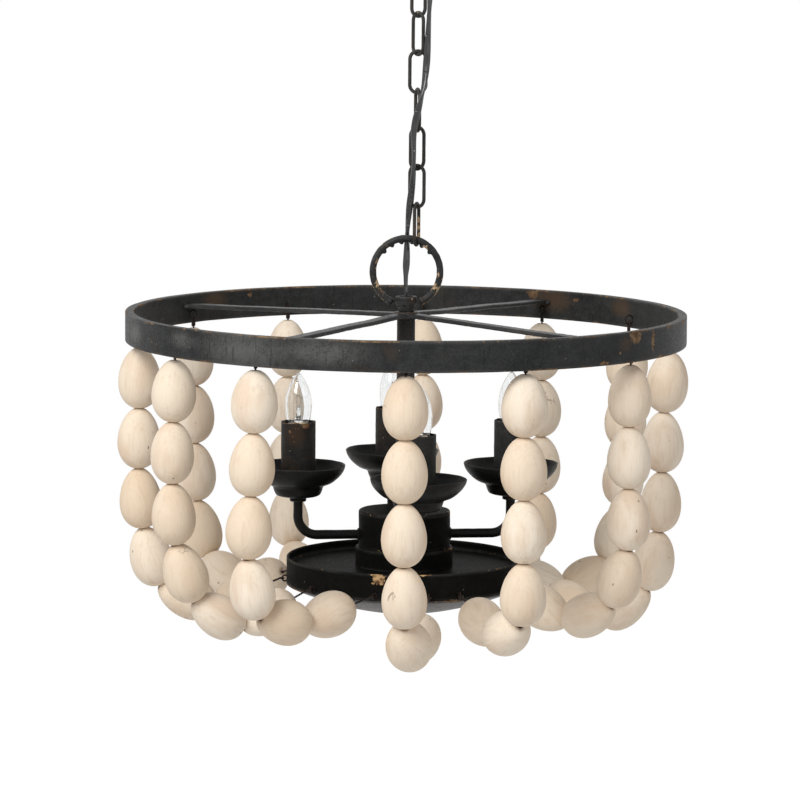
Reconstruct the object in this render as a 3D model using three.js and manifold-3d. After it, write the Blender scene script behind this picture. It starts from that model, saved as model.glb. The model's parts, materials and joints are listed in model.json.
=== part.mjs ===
// A beaded chandelier: twelve strands of wooden eggs hang from a flat iron ring and are wired to a round
// iron pan below it. Four candle lights stand on arms round a drum in the middle, and the whole frame
// hangs on a chain from a ceiling canopy. Millimetres, +Z up, the ceiling is z = 0, and -Y is the front.
import * as THREE from 'three';
import { mergeVertices } from 'three/addons/utils/BufferGeometryUtils.js';
import Module from 'manifold-3d';

const wasm = await Module();
wasm.setup();

// Clearances shared by the whole object
const seatGap = 0.3;
const boreGap = 0.3;
const cordGap = 0.6;
const cutOverrun = 4;

// Supply cord, and the bore that it runs through
const cordRadius = 2.2;
const cordTailDepth = 60;
const cordBore = cordRadius + cordGap;

// Ceiling fitting
const canopyRadius = 60;
const canopyDepth = 27;
const canopyWall = 1.2;
const canopyLip = 6;
const crossbarLength = 92;
const crossbarWidth = 16;
const crossbarThick = 3;
const crossbarScrewSpacing = 70;
const crossbarScrewRadius = 2.3;
const nippleRadius = 5;
const canopyNutRadius = 9;
const canopyNutDepth = 6;
const loopNeckRadius = 7;
const loopNeckDepth = 9;
const loopWire = 5;
const loopRadius = 13.5;
const loopYaw = -50;

// Chain: the top link is the first, and a yaw of 0 turns a link's flat side to the front
const linkWire = 3.9;
const linkLength = 49.3;
const linkWidth = 21.5;
const linkYaws = [35, -52, 8, -76, 35, -29, 75];

// Suspension ring: a bent bar with a row of nubs under its top, which keep the chain in its notch
const ringBar = 7.5;
const ringBarRadius = 36.5;
const ringBallRadius = 4.6;
const nubRadius = 2.7;
const nubAngles = [41, 60, 80, 100, 119, 138];
const chainNotchAngle = 70;

// Hub and column
const collarRadius = 11.5;
const collarFootRadius = 8.6;
const collarHeight = 16.5;
const collarCupRadius = 8;
const collarCupDepth = 9;
const bossRadius = 13;
const bossHeight = 8;
const columnRadius = 9.9;
const columnWall = 1.8;
const pipeRadius = 5;
const pipeStandUp = 4;

// Upper ring and its spokes; angles run from the right-hand side towards the back
const bandRadius = 305;
const bandThick = 9.5;
const bandHeight = 32.4;
const bandEdge = 1.4;
const spokeWidth = 15;
const spokeThick = 4.5;
const spokeHubDepth = 4.2;
const spokeFall = 8.3;
const spokeAngles = [58, 146, 239, 317];

// Drum and its foot, on the tray of the pan
const drumRadius = 50;
const drumWall = 2;
const drumHeight = 39.7;
const drumEdge = 2.5;
const footRadius = 53.2;
const footWall = 2;
const footHeight = 21.5;

// Lower pan: a wall round a sunken tray, closed below by a dome
const panRadius = 129;
const panWall = 2.2;
const panHeight = 28.6;
const trayDepth = 10.3;
const trayThick = 2;
const domeDepth = 31;
const domeThick = 1.8;
const panRimDrop = 269.4;
const nutRadius = 9;
const nutHeight = 5;
const pipeThread = 1.5;

// Arms and candle lights; the first stands at the front
const armCount = 4;
const armTurn = 7;
const armReach = 117;
const armRadius = 5.1;
const armBend = 21;
const armDrop = 26.8;
const armInset = 7;
const armCollarRadius = 9;
const armCollarHeight = 4.6;
const armStub = 9;
const bowlRadius = 52.8;
const bowlHeight = 35.8;
const bowlWall = 1.6;
const bowlRimAboveDrum = 51;
const bowlRadiusShares = [0.27, 0.455, 0.53, 0.57, 0.86, 1];
const bowlHeightShares = [0, 0.12, 0.27, 0.35, 0.65, 1];
const sleeveRadius = 19;
const sleeveWall = 1.5;
const sleeveAboveRim = 48;
const socketRadius = 13.2;
const socketBore = 7.4;
const socketBoreDepth = 26;
const socketBelowSleeve = 3;
const bulbRadius = 14.6;
const bulbCapRadius = 6.7;
const bulbCapLength = 22;
const bulbGlassLength = 55;
const bulbHeightShares = [0.04, 0.18, 0.36, 0.58, 0.82, 1];
const bulbRadiusShares = [0.84, 0.97, 1, 0.88, 0.46, 0];

// Strands of eggs
const eggCount = 6;
const eggLength = 65.2;
const eggWidth = 48;
const eggSpacing = 0.3;
const eggHeightShares = [0.09, 0.4, 0.68, 0.91];
const eggRadiusShares = [0.56, 1, 0.9, 0.48];
const eggHoleRadius = 1.5;
const kneeGap = 0.8;
const eyeWire = 1.8;
const lowerEyeSink = 0.5;
const upperEyeSize = 5;
const upperEyeRise = 10;
const upperEyeSink = 1;
const lowerEyeSize = 3.2;
const lowerEyeRise = 5;
const strandWire = 1.6;
const strandLoopRadius = 2.6;
const wireHold = 2.5;
const upperStem = 6.8;

// Each strand, from the front towards the right: the angle of its eye on the ring and on the pan, and how far
// its first eggs tilt towards the pan; the last egg points at the pan's eye
const strandShapes = [
  { ring: 0, pan: 12, tilts: [-2, -1.5, 0.5, 9, 47] },
  { ring: 25, pan: 27, tilts: [2, -1, -2.5, 2, 70] },
  { ring: 54.2, pan: 60, tilts: [1, -1, 0, 18, 67] },
  { ring: 80.5, pan: 94, tilts: [7, 0, 2, 10, 54] },
  { ring: 120.5, pan: 125, tilts: [2, 0, 3, 12, 62] },
  { ring: 147.5, pan: 155, tilts: [1, -2, 2, 8, 58] },
  { ring: 176, pan: 185, tilts: [0, 1, 2, 12, 64] },
  { ring: 207.8, pan: 215, tilts: [-1, 0, 1, 10, 60] },
  { ring: 235.5, pan: 245, tilts: [0, 1, 4, 12, 66] },
  { ring: 279, pan: 275, tilts: [0, -1, 4, 16, 66] },
  { ring: 303.5, pan: 311, tilts: [-2, -1, 3.5, 20, 57] },
  { ring: 327.8, pan: 346, tilts: [-2, -3, -4, 12, 78] },
];

// How finely round surfaces are cut
const roundSides = 16;
const bandSides = 48;
const panSides = 28;
const wireSides = 6;
const fineWireSides = 4;
const skinSides = 8;
const bendSteps = 4;
const lampSides = 12;
const cordSides = 8;
const cordSteps = 52;
const ringBends = 12;
const ringSteps = 22;
const ballSides = 8;
const ballRows = 5;
const nubRows = 3;

const radians = THREE.MathUtils.degToRad;

// Materials
const finishes = {
  iron: { color: 0x2c2d2e, roughness: 0.55, metalness: 0.6 },
  brownIron: { color: 0x35291f, roughness: 0.6, metalness: 0.5 },
  wood: { color: 0xe0cdb4, roughness: 0.7, metalness: 0 },
  cord: { color: 0x1b1b1c, roughness: 0.5, metalness: 0 },
  socket: { color: 0xd8d2c4, roughness: 0.5, metalness: 0 },
  glass: { color: 0xeef2f2, roughness: 0.05, metalness: 0, transparent: true, opacity: 0.35 },
  steel: { color: 0x8c8c8c, roughness: 0.4, metalness: 0.9 },
};

const chandelier = new THREE.Group();
chandelier.name = 'beaded_chandelier';
const frame = new THREE.Group();
chandelier.add(frame);

/** Adds a named mesh to a group, with the place and yaw (degrees) that it stands at. */
function place(name, geometry, finish, { group = frame, at = [0, 0, 0], yaw = 0 } = {}) {
  const mesh = new THREE.Mesh(geometry, new THREE.MeshStandardMaterial(finishes[finish]));
  mesh.name = name;
  mesh.position.set(...at);
  mesh.rotation.z = radians(yaw);
  group.add(mesh);
  return mesh;
}

/** Leaves only merged positions and turns the faces outwards. */
function closed(geometry) {
  const bare = geometry.clone();
  for (const attribute of Object.keys(bare.attributes)) {
    if (attribute !== 'position') bare.deleteAttribute(attribute);
  }
  const merged = mergeVertices(bare, 1e-4);
  const corner = merged.attributes.position;
  const source = merged.index.array;
  const kept = [];
  for (let i = 0; i < source.length; i += 3) {
    const [a, b, c] = source.slice(i, i + 3);
    if (a !== b && b !== c && c !== a) kept.push(a, b, c);
  }
  const [p, q, r] = [new THREE.Vector3(), new THREE.Vector3(), new THREE.Vector3()];
  let volume = 0;
  for (let i = 0; i < kept.length; i += 3) {
    p.fromBufferAttribute(corner, kept[i]);
    q.fromBufferAttribute(corner, kept[i + 1]);
    r.fromBufferAttribute(corner, kept[i + 2]);
    volume += p.dot(q.cross(r));
  }
  if (volume < 0) kept.reverse();
  merged.setIndex(kept);
  return merged;
}

function toSolid(geometry) {
  const mesh = closed(geometry);
  return new wasm.Manifold(new wasm.Mesh({
    numProp: 3,
    vertProperties: new Float32Array(mesh.attributes.position.array),
    triVerts: new Uint32Array(mesh.index.array),
  }));
}

function fromSolid(solid) {
  const { vertProperties, triVerts } = solid.getMesh();
  const geometry = new THREE.BufferGeometry();
  geometry.setAttribute('position', new THREE.BufferAttribute(vertProperties, 3));
  geometry.setIndex(new THREE.BufferAttribute(triVerts, 1));
  return geometry;
}

const union = (...geometries) => fromSolid(geometries.map(toSolid).reduce((a, b) => a.add(b)));

const cut = (body, ...tools) => fromSolid(tools.map(toSolid).reduce((a, b) => a.subtract(b), toSolid(body)));

/** A turned piece round Z, from [radius, height] points. */
function turned(points, sides = roundSides) {
  const profile = points.map(([radius, height]) => new THREE.Vector2(radius, height));
  return closed(new THREE.LatheGeometry(profile, sides).rotateX(Math.PI / 2));
}

/** A turned ring, cup or tube: its outline closes on itself. */
const turnedRing = (points, sides) => turned([...points, points[0]], sides);

/** A rod round Z between two heights. */
const rod = (radius, low, high, sides) => turned([[0, low], [radius, low], [radius, high], [0, high]], sides);

/** A plain tube round Z between two heights. */
function sleeve(outer, inner, low, high, sides) {
  return turnedRing([[inner, low], [outer, low], [outer, high], [inner, high]], sides);
}

/** A round section swept along a curve. */
function swept(curve, radius, sides, steps) {
  const corners = Array.from({ length: sides }, (_, i) => new THREE.Vector2(...polar(radius, i * 360 / sides)));
  const section = new THREE.Shape(corners);
  return new THREE.ExtrudeGeometry(section, { extrudePath: curve, steps, bevelEnabled: false });
}

/** A straight round wire between two points. */
const wire = (from, to, radius) => swept(new THREE.LineCurve3(from, to), radius, fineWireSides, 1);

/**
 * A ring of wire in the XZ plane, pulled apart along Z by the straight length of its sides. The wire's mean
 * radius is met at the middle of its flats, where other rings hang from it.
 */
function wireRing(meanRadius, thick, { straight = 0, around = 8, sides = fineWireSides } = {}) {
  const cornerRadius = meanRadius / Math.cos(Math.PI / around);
  const ring = new THREE.TorusGeometry(cornerRadius, thick / 2, sides, around);
  ring.rotateZ(Math.PI / around).rotateX(Math.PI / 2);
  const corner = ring.attributes.position;
  for (let i = 0; i < corner.count; i += 1) {
    corner.setZ(i, corner.getZ(i) + Math.sign(corner.getZ(i)) * straight / 2);
  }
  return ring;
}

/** How far a faceted round surface comes in at the middle of its flats. */
const flatRadius = (radius, sides) => radius * Math.cos(Math.PI / sides);

const polar = (radius, degrees) => [radius * Math.cos(radians(degrees)), radius * Math.sin(radians(degrees))];

// Heights, worked out downwards from the ceiling
const canopyFace = -canopyDepth;
const nutTop = canopyFace - seatGap;
const neckTop = nutTop - canopyNutDepth - seatGap;
const loopCentre = neckTop - loopNeckDepth - loopRadius;
const loopFoot = loopCentre - loopRadius;
const linkPitch = linkLength - 2 * linkWire - seatGap;
const firstLinkCentre = loopFoot + (loopWire + linkWire) / 2 + seatGap - (linkLength - linkWire) / 2;
const linkCentre = (index) => firstLinkCentre - index * linkPitch;
const lastLinkFoot = linkCentre(linkYaws.length - 1) - (linkLength - linkWire) / 2;
const notchRadius = ringBarRadius - (ringBar + linkWire) / 2 - seatGap;
const [notchSide, notchRise] = polar(notchRadius, chainNotchAngle);
const ringCentre = lastLinkFoot - notchRise;
const ballSide = collarRadius + seatGap + ringBallRadius;
const ballHeight = ringCentre - Math.sqrt(ringBarRadius ** 2 - ballSide ** 2);
const collarTop = ballHeight + collarHeight / 3;
const collarFoot = collarTop - collarHeight;
const bandTop = collarFoot;
const bandFoot = bandTop - bandHeight;
const bossTop = collarFoot - seatGap;
const bossFoot = bossTop - bossHeight;
const panRim = bandTop - panRimDrop;
const trayTop = panRim - trayDepth;
const footTop = trayTop + seatGap + footHeight;
const drumFoot = footTop + seatGap;
const drumTop = drumFoot + drumHeight;
const bowlRim = drumTop + bowlRimAboveDrum;
const bowlFoot = bowlRim - bowlHeight;
const sleeveTop = bowlRim + sleeveAboveRim;
const panFoot = panRim - panHeight;
const domeTop = panFoot - seatGap;
const domeFoot = domeTop - domeDepth;
const armHeight = drumTop - armDrop;

// Arms and eyes take their places from the pieces that carry them
const armAngles = Array.from({ length: armCount }, (_, i) => armTurn - 90 + i * 360 / armCount);
const upperEyeReach = bandRadius - bandThick - upperEyeSize - eyeWire / 2 + upperEyeSink;
const upperEyeCentre = bandFoot + upperEyeRise;
const lowerEyeReach = panRadius + lowerEyeSink + eyeWire / 2;
const lowerEyeCentre = panFoot + lowerEyeRise;
const wireStep = (eyeWire + strandWire) / 2 + seatGap;

// The frame hangs beside the chain's line, because the chain sits in a notch right of the ring's top
frame.position.x = -notchSide;

function buildCeilingFitting() {
  const options = { group: chandelier };
  const bar = new THREE.BoxGeometry(crossbarLength, crossbarWidth, crossbarThick);
  bar.translate(0, 0, -crossbarThick / 2);
  const boreRadius = nippleRadius + boreGap;
  const hole = (radius) => rod(radius, -crossbarThick - cutOverrun, cutOverrun, lampSides);
  const screwHole = (side) => hole(crossbarScrewRadius).translate(side * crossbarScrewSpacing / 2, 0, 0);
  place('ceiling_crossbar', cut(bar, hole(boreRadius), screwHole(1), screwHole(-1)), 'steel', options);

  const nippleFoot = neckTop - loopNeckDepth / 2;
  place('ceiling_nipple', sleeve(nippleRadius, cordBore, nippleFoot, 0), 'steel', options);

  const lipTop = -seatGap;
  place('ceiling_canopy', turnedRing([
    [canopyRadius, lipTop],
    [canopyRadius, -canopyLip],
    ...dome(canopyRadius, boreRadius, -canopyLip, canopyFace),
    ...dome(canopyRadius - canopyWall, boreRadius, -canopyLip, canopyFace + canopyWall).reverse(),
    [canopyRadius - canopyWall, -canopyLip],
    [canopyRadius - canopyWall, lipTop],
  ]), 'iron', options);

  place('canopy_nut', sleeve(canopyNutRadius, boreRadius, nutTop - canopyNutDepth, nutTop), 'iron', options);

  const neckFoot = neckTop - loopNeckDepth;
  const ring = wireRing(loopRadius, loopWire, { around: 16, sides: wireSides }).translate(0, 0, loopCentre);
  const neck = rod(loopNeckRadius, neckFoot - loopWire / 2, neckTop);
  const socket = rod(boreRadius, nippleFoot - seatGap, neckTop + cutOverrun);
  const cordWay = rod(cordBore, neckFoot - loopWire - cutOverrun, neckTop + cutOverrun);
  place('canopy_loop', cut(union(ring, neck), socket, cordWay), 'iron', { ...options, yaw: loopYaw });
}

/** The curved part of a shell's outline, from its edge in to its bore. */
function dome(edgeRadius, innerRadius, edgeHeight, crownHeight, steps = 4) {
  const outline = [];
  for (let i = 1; i <= steps; i += 1) {
    const radius = edgeRadius + (innerRadius - edgeRadius) * (i / steps);
    const share = (edgeRadius - radius) / (edgeRadius - innerRadius);
    outline.push([radius, edgeHeight + (crownHeight - edgeHeight) * Math.sin(share * Math.PI / 2)]);
  }
  return outline;
}

function buildChain() {
  const meanRadius = (linkWidth - linkWire) / 2;
  const straight = linkLength - linkWire - 2 * meanRadius;
  linkYaws.forEach((yaw, index) => {
    const link = wireRing(meanRadius, linkWire, { straight, sides: wireSides });
    const at = [0, 0, linkCentre(index)];
    place(`chain_link_${index + 1}`, closed(link), 'iron', { group: chandelier, at, yaw });
  });
}

function buildSupplyCord() {
  const hubX = frame.position.x;
  const cordTop = neckTop - loopNeckDepth / 2 + cordTailDepth / 3;
  const route = [
    [0, 0, cordTop],
    [0, 0, -44],
    [1.4, 1.2, -50],
    [5.2, 4, -56.5],
    [10.5, 1.8, -63],
    [13.4, -3.4, -71],
    [13.2, -6.6, -80],
    [12.2, -7.2, -92],
    [11.4, -7.4, -110],
    [10.4, -8, -135],
    [9.2, -8.6, -160],
    [7.2, -10.6, -180],
    [4.6, -12.8, -194],
    [2, -13.4, -206],
    [-1.6, -13.2, -220],
    [-4, -12.6, -236],
    [-3.6, -12.6, -262],
    [-4.2, -11.4, -284],
    [-6.4, -6.6, -304],
    [-8.4, -0.4, -322],
    [-9.6, 5.2, -338],
    [-10.2, 7, -352],
    [-10.4, 5.4, -370],
    [-11.2, 2.4, -392],
    [-10.8, 0, -409],
    [hubX, 0, collarTop],
    [hubX, 0, bossFoot],
    [hubX, 0, bossFoot - cordTailDepth],
  ];
  const curve = new THREE.CatmullRomCurve3(route.map((point) => new THREE.Vector3(...point)), false, 'centripetal');
  place('supply_cord', closed(swept(curve, cordRadius, cordSides, cordSteps)), 'cord', { group: chandelier });
}

/** The bent bar that the chain holds, with its nubs, ending in a ball at each side of the collar. */
function buildSuspensionRing() {
  const endAngle = THREE.MathUtils.radToDeg(Math.atan2(ballHeight - ringCentre, ballSide));
  const arc = new THREE.CatmullRomCurve3(
    Array.from({ length: ringBends + 1 }, (_, i) => {
      const [x, z] = polar(ringBarRadius, endAngle + (180 - 2 * endAngle) * (i / ringBends));
      return new THREE.Vector3(x, 0, z);
    }),
  );
  const nub = (degrees) => {
    const [x, z] = polar(ringBarRadius - ringBar / 2, degrees);
    return new THREE.SphereGeometry(nubRadius, wireSides, nubRows).translate(x, 0, z);
  };
  const ball = (side) => new THREE.SphereGeometry(ringBallRadius, ballSides, ballRows)
    .translate(side * ballSide, 0, ballHeight - ringCentre);
  const bar = swept(arc, ringBar / 2, wireSides, ringSteps);
  place('suspension_ring', union(bar, ball(1), ball(-1), ...nubAngles.map(nub)), 'iron', {
    at: [0, 0, ringCentre],
  });
}

function buildHub() {
  const boreRadius = pipeRadius + boreGap;
  const cupFloor = collarTop - collarCupDepth;
  place('hub_collar', turnedRing([
    [boreRadius, collarFoot],
    [collarFootRadius, collarFoot],
    [collarFootRadius, collarFoot + collarHeight / 6],
    [collarRadius, collarFoot + collarHeight / 2],
    [collarRadius, collarTop],
    [collarCupRadius, collarTop],
    [collarCupRadius, cupFloor],
    [boreRadius, cupFloor],
  ]), 'iron');
  place('hub_boss', sleeve(bossRadius, boreRadius, bossFoot, bossTop), 'iron');

  const columnTop = bossFoot - seatGap;
  const columnFoot = drumTop + seatGap;
  place('column_tube', sleeve(columnRadius, columnRadius - columnWall, columnFoot, columnTop), 'brownIron');

  const pipeFoot = domeFoot - nutHeight - seatGap - pipeThread;
  place('centre_pipe', sleeve(pipeRadius, cordBore, pipeFoot, collarFoot + pipeStandUp), 'steel');
}

function buildUpperRing() {
  const inner = bandRadius - bandThick;
  const band = turnedRing([
    [inner, bandFoot + bandEdge],
    [inner + bandEdge, bandFoot],
    [bandRadius - bandEdge, bandFoot],
    [bandRadius, bandFoot + bandEdge],
    [bandRadius, bandTop - bandEdge],
    [bandRadius - bandEdge, bandTop],
    [inner + bandEdge, bandTop],
    [inner, bandTop - bandEdge],
  ], bandSides);
  const eyes = strandShapes.map(({ ring }) => {
    const [x, y] = polar(upperEyeReach, ring - 90);
    return wireRing(upperEyeSize, eyeWire).rotateZ(radians(ring - 90)).translate(x, y, upperEyeCentre);
  });
  place('upper_ring', union(band, ...eyes), 'iron');

  const hubEnd = bossRadius + seatGap;
  const bandEnd = flatRadius(inner, bandSides) - seatGap;
  const run = bandEnd - hubEnd;
  const slope = Math.atan2(spokeFall, run);
  spokeAngles.forEach((yaw, index) => {
    const bar = new THREE.BoxGeometry(run / Math.cos(slope) - spokeThick * Math.sin(slope), spokeWidth, spokeThick);
    bar.rotateY(slope).translate(hubEnd + run / 2, 0, bandTop - spokeHubDepth - spokeFall / 2);
    place(`spoke_${index + 1}`, bar, 'iron', { yaw });
  });
}

function buildDrum() {
  const boreRadius = pipeRadius + boreGap;
  const cover = turnedRing([
    [drumRadius, drumFoot],
    [drumRadius, drumTop - drumEdge],
    [drumRadius - drumEdge, drumTop],
    [boreRadius, drumTop],
    [boreRadius, drumTop - drumWall],
    [drumRadius - drumWall, drumTop - drumEdge],
    [drumRadius - drumWall, drumFoot],
  ], panSides);
  const armHole = rod(armRadius + boreGap, drumRadius - armInset - cutOverrun, drumRadius + cutOverrun, lampSides);
  armHole.rotateY(Math.PI / 2);
  const holes = armAngles.map((degrees) => armHole.clone().rotateZ(radians(degrees)).translate(0, 0, armHeight));
  place('drum_cover', cut(cover, ...holes), 'iron');

  const footFoot = trayTop + seatGap;
  place('drum_foot', turnedRing([
    [footRadius, footFoot],
    [footRadius, footTop - footWall],
    [footRadius - footWall, footTop],
    [boreRadius, footTop],
    [boreRadius, footTop - footWall],
    [footRadius - footWall, footTop - footWall],
    [footRadius - footWall, footFoot],
  ], panSides), 'iron');
}

function buildPan() {
  const boreRadius = pipeRadius + boreGap;
  const inner = panRadius - panWall;
  const wall = turnedRing([
    [panRadius, panFoot],
    [panRadius, panRim],
    [inner, panRim],
    [inner, trayTop],
    [boreRadius, trayTop],
    [boreRadius, trayTop - trayThick],
    [inner, trayTop - trayThick],
    [inner, panFoot],
  ], panSides);
  const eyes = strandShapes.map((shape) => {
    const { heldAt, yaw } = strandLine(shape);
    return wireRing(lowerEyeSize, eyeWire).rotateZ(yaw).translate(...heldAt, lowerEyeCentre);
  });
  place('lower_pan', union(wall, ...eyes), 'iron');

  place('pan_dome', turnedRing([
    [panRadius - domeThick, domeTop],
    [panRadius, domeTop],
    ...cap(panRadius, domeTop - domeThick / 2, domeFoot, boreRadius),
    ...cap(panRadius - domeThick, domeTop - domeThick / 2, domeFoot + domeThick, boreRadius).reverse(),
  ], panSides), 'iron');

  const nutTopHeight = domeFoot - seatGap;
  place('bottom_nut', sleeve(nutRadius, boreRadius, nutTopHeight - nutHeight, nutTopHeight), 'iron');
}

/** The outline of a shallow bowl from its edge down to its bore. */
function cap(edgeRadius, edgeHeight, lowest, innerRadius, steps = 4) {
  const outline = [];
  for (let i = 0; i <= steps; i += 1) {
    const radius = edgeRadius + (innerRadius - edgeRadius) * (i / steps);
    const rise = (radius ** 2 - innerRadius ** 2) / (edgeRadius ** 2 - innerRadius ** 2);
    outline.push([radius, lowest + (edgeHeight - lowest) * rise]);
  }
  return outline;
}

/** An arm round its centre line: out from the drum, round the bend and up through the bowl. */
function armBar(top) {
  const corners = [[drumRadius - armInset, 0]];
  for (let i = 0; i <= bendSteps; i += 1) {
    const [out, down] = polar(armBend, 90 * (i / bendSteps) - 90);
    corners.push([armReach - armBend + out, armBend + down]);
  }
  corners.push([armReach, top]);
  return skin(corners.map(([x, z], i) => {
    const [beforeX, beforeZ] = corners[Math.max(i - 1, 0)];
    const [afterX, afterZ] = corners[Math.min(i + 1, corners.length - 1)];
    return ringRound(new THREE.Vector3(x, 0, z), new THREE.Vector3(afterX - beforeX, 0, afterZ - beforeZ), armRadius);
  }));
}

function buildLights() {
  const holeRadius = armRadius + boreGap;
  const collarUnderBowl = bowlFoot - seatGap;
  const riserTop = collarUnderBowl - armHeight;
  const bowlOutline = bowlRadiusShares.map((share, i) => [
    share * bowlRadius,
    bowlFoot + bowlHeightShares[i] * bowlHeight,
  ]);
  const bowlInside = bowlOutline.slice(0, -1).map(([radius, height]) => [radius - bowlWall / 3, height + bowlWall]);
  const bowlFloor = bowlFoot + bowlWall;
  const seatHeight = heightAt(bowlInside, sleeveRadius);
  const sleeveFoot = seatHeight + seatGap;
  const socketTop = sleeveTop - socketBelowSleeve;
  const socketFoot = bowlFloor + seatGap;
  const glassFoot = socketTop + seatGap;

  armAngles.forEach((yaw, index) => {
    const number = index + 1;
    const light = new THREE.Group();
    light.rotation.z = radians(yaw);
    frame.add(light);

    const bar = armBar(riserTop + seatGap + bowlWall + armStub);
    const collar = rod(armCollarRadius, riserTop - armCollarHeight, riserTop, lampSides);
    const arm = union(bar, collar.translate(armReach, 0, 0));
    place(`arm_${number}`, arm, 'iron', { group: light, at: [0, 0, armHeight] });

    const stand = { group: light, at: [armReach, 0, 0] };
    place(`bowl_${number}`, turnedRing([
      [holeRadius, bowlFoot],
      ...bowlOutline,
      [bowlRadius - bowlWall / 2, bowlRim + bowlWall / 3],
      ...bowlInside.slice().reverse(),
      [holeRadius, bowlFloor],
    ]), 'iron', stand);

    const cover = sleeve(sleeveRadius, sleeveRadius - sleeveWall, sleeveFoot, sleeveTop);
    place(`candle_sleeve_${number}`, cover, 'iron', stand);

    const stubTop = armHeight + riserTop + seatGap + bowlWall + armStub + seatGap;
    place(`lamp_socket_${number}`, turnedRing([
      [holeRadius, socketFoot],
      [socketRadius, socketFoot],
      [socketRadius, socketTop],
      [socketBore, socketTop],
      [socketBore, socketTop - socketBoreDepth],
      [holeRadius, stubTop],
    ], lampSides), 'socket', stand);

    const glass = bulbHeightShares.map((share, i) => [
      bulbRadiusShares[i] * bulbRadius,
      glassFoot + share * bulbGlassLength,
    ]);
    place(`bulb_${number}`, turned([
      [0, glassFoot - bulbCapLength],
      [bulbCapRadius / 2, glassFoot - bulbCapLength],
      [bulbCapRadius, glassFoot - bulbCapLength + bulbCapRadius / 2],
      [bulbCapRadius, glassFoot],
      ...glass,
    ], lampSides), 'glass', stand);
  });
}

/** The height of an outline at a radius, between the points on each side of it. */
function heightAt(outline, radius) {
  const next = outline.findIndex(([reach]) => reach >= radius);
  const [lowReach, low] = outline[next - 1];
  const [highReach, high] = outline[next];
  return low + (high - low) * ((radius - lowReach) / (highReach - lowReach));
}

/** A closed skin over rings of as many corners each. */
function skin(rings) {
  const sides = rings[0].length;
  const corners = rings.flat();
  const faces = [];
  for (let i = 0; i + 1 < rings.length; i += 1) {
    for (let j = 0; j < sides; j += 1) {
      const [a, b] = [i * sides + j, i * sides + (j + 1) % sides];
      faces.push(a, b, a + sides, b, b + sides, a + sides);
    }
  }
  const last = (rings.length - 1) * sides;
  for (let j = 1; j + 1 < sides; j += 1) {
    faces.push(0, j + 1, j, last, last + j, last + j + 1);
  }
  const geometry = new THREE.BufferGeometry().setFromPoints(corners);
  geometry.setIndex(faces);
  return closed(geometry);
}

/** A ring of corners round a point, square to a run in the XZ plane. */
function ringRound(centre, run, radius) {
  const across = new THREE.Vector3(-run.z, 0, run.x).normalize();
  return Array.from({ length: skinSides }, (_, i) => {
    const [side, out] = polar(radius, i * 360 / skinSides);
    return centre.clone().addScaledVector(across, out).add(new THREE.Vector3(0, side, 0));
  });
}

/** The middles of a strand's eyes on the ring and on the pan, with the distance and the way between them. */
function strandLine({ ring, pan }) {
  const hangsAt = polar(upperEyeReach, ring - 90);
  const heldAt = polar(lowerEyeReach, pan - 90);
  const [x, y] = [heldAt[0] - hangsAt[0], heldAt[1] - hangsAt[1]];
  return { hangsAt, heldAt, span: Math.hypot(x, y), yaw: Math.atan2(y, x) };
}

/** One egg between its top and its foot. */
function egg(top, foot) {
  const run = foot.clone().sub(top);
  const outline = eggHeightShares.map((share, i) => [1 - share, eggRadiusShares[i] * eggWidth / 2]).reverse();
  const rings = [[0, eggHoleRadius], ...outline, [1, eggHoleRadius]];
  return skin(rings.map(([along, radius]) => ringRound(top.clone().addScaledVector(run, along), run, radius)));
}

/** The wire that shows between two eggs: at a sharp bend they stand apart, so that their ends clear. */
function stemLength(bend) {
  const [footShare, headShare] = [eggRadiusShares[0], eggRadiusShares.at(-1)];
  const ends = (footShare + headShare) * (eggWidth / 2) * Math.tan(Math.abs(bend) / 2);
  return Math.max(eggSpacing, ends - 2 * eggHeightShares[0] * eggLength + kneeGap);
}

/** The point a length away, tilted from straight down towards the pan. */
function stepFrom(point, tilt, length) {
  return new THREE.Vector3(point.x + length * Math.sin(tilt), 0, point.z - length * Math.cos(tilt));
}

/** The angle from straight down at which one point sees another. */
const tiltTo = (from, to) => Math.atan2(to.x - from.x, from.z - to.z);

/** A strand in its own vertical plane: X runs from the ring's eye in towards the pan's eye. */
function buildStrand(shape, number) {
  const { hangsAt, span, yaw } = strandLine(shape);
  const reach = span - lowerEyeSize + wireStep;
  const upperHold = upperEyeCentre - upperEyeSize + wireStep;
  const holdDrop = lowerEyeCentre - upperHold;
  const upperEnd = new THREE.Vector3(0, 0, -2 * strandLoopRadius);
  const lowerEnd = new THREE.Vector3(reach - 2 * strandLoopRadius, 0, holdDrop);

  const pieces = [
    wireRing(strandLoopRadius, strandWire).rotateZ(Math.PI / 2).translate(0, 0, -strandLoopRadius),
    wireRing(strandLoopRadius, strandWire).rotateX(Math.PI / 2).translate(reach - strandLoopRadius, 0, holdDrop),
  ];
  let tiltBefore = 0;
  let foot = upperEnd;
  for (let i = 0; i < eggCount; i += 1) {
    const tilt = i < shape.tilts.length ? radians(shape.tilts[i]) : tiltTo(foot, lowerEnd);
    const stem = i > 0 ? stemLength(tilt - tiltBefore) : upperStem;
    const top = stepFrom(foot, tilt, stem);
    pieces.push(wire(i > 0 ? stepFrom(foot, tilt, -wireHold) : foot, stepFrom(top, tilt, wireHold), strandWire / 2));
    foot = stepFrom(top, tilt, eggLength);
    pieces.push(egg(top, foot));
    tiltBefore = tilt;
  }
  pieces.push(wire(stepFrom(foot, tiltBefore, -wireHold), lowerEnd, strandWire / 2));
  place(`egg_strand_${String(number + 1).padStart(2, '0')}`, union(...pieces), 'wood', {
    at: [...hangsAt, upperHold],
    yaw: THREE.MathUtils.radToDeg(yaw),
  });
}

buildCeilingFitting();
buildChain();
buildSupplyCord();
buildSuspensionRing();
buildHub();
buildUpperRing();
buildDrum();
buildPan();
buildLights();
strandShapes.forEach(buildStrand);

export default chandelier;
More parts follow.
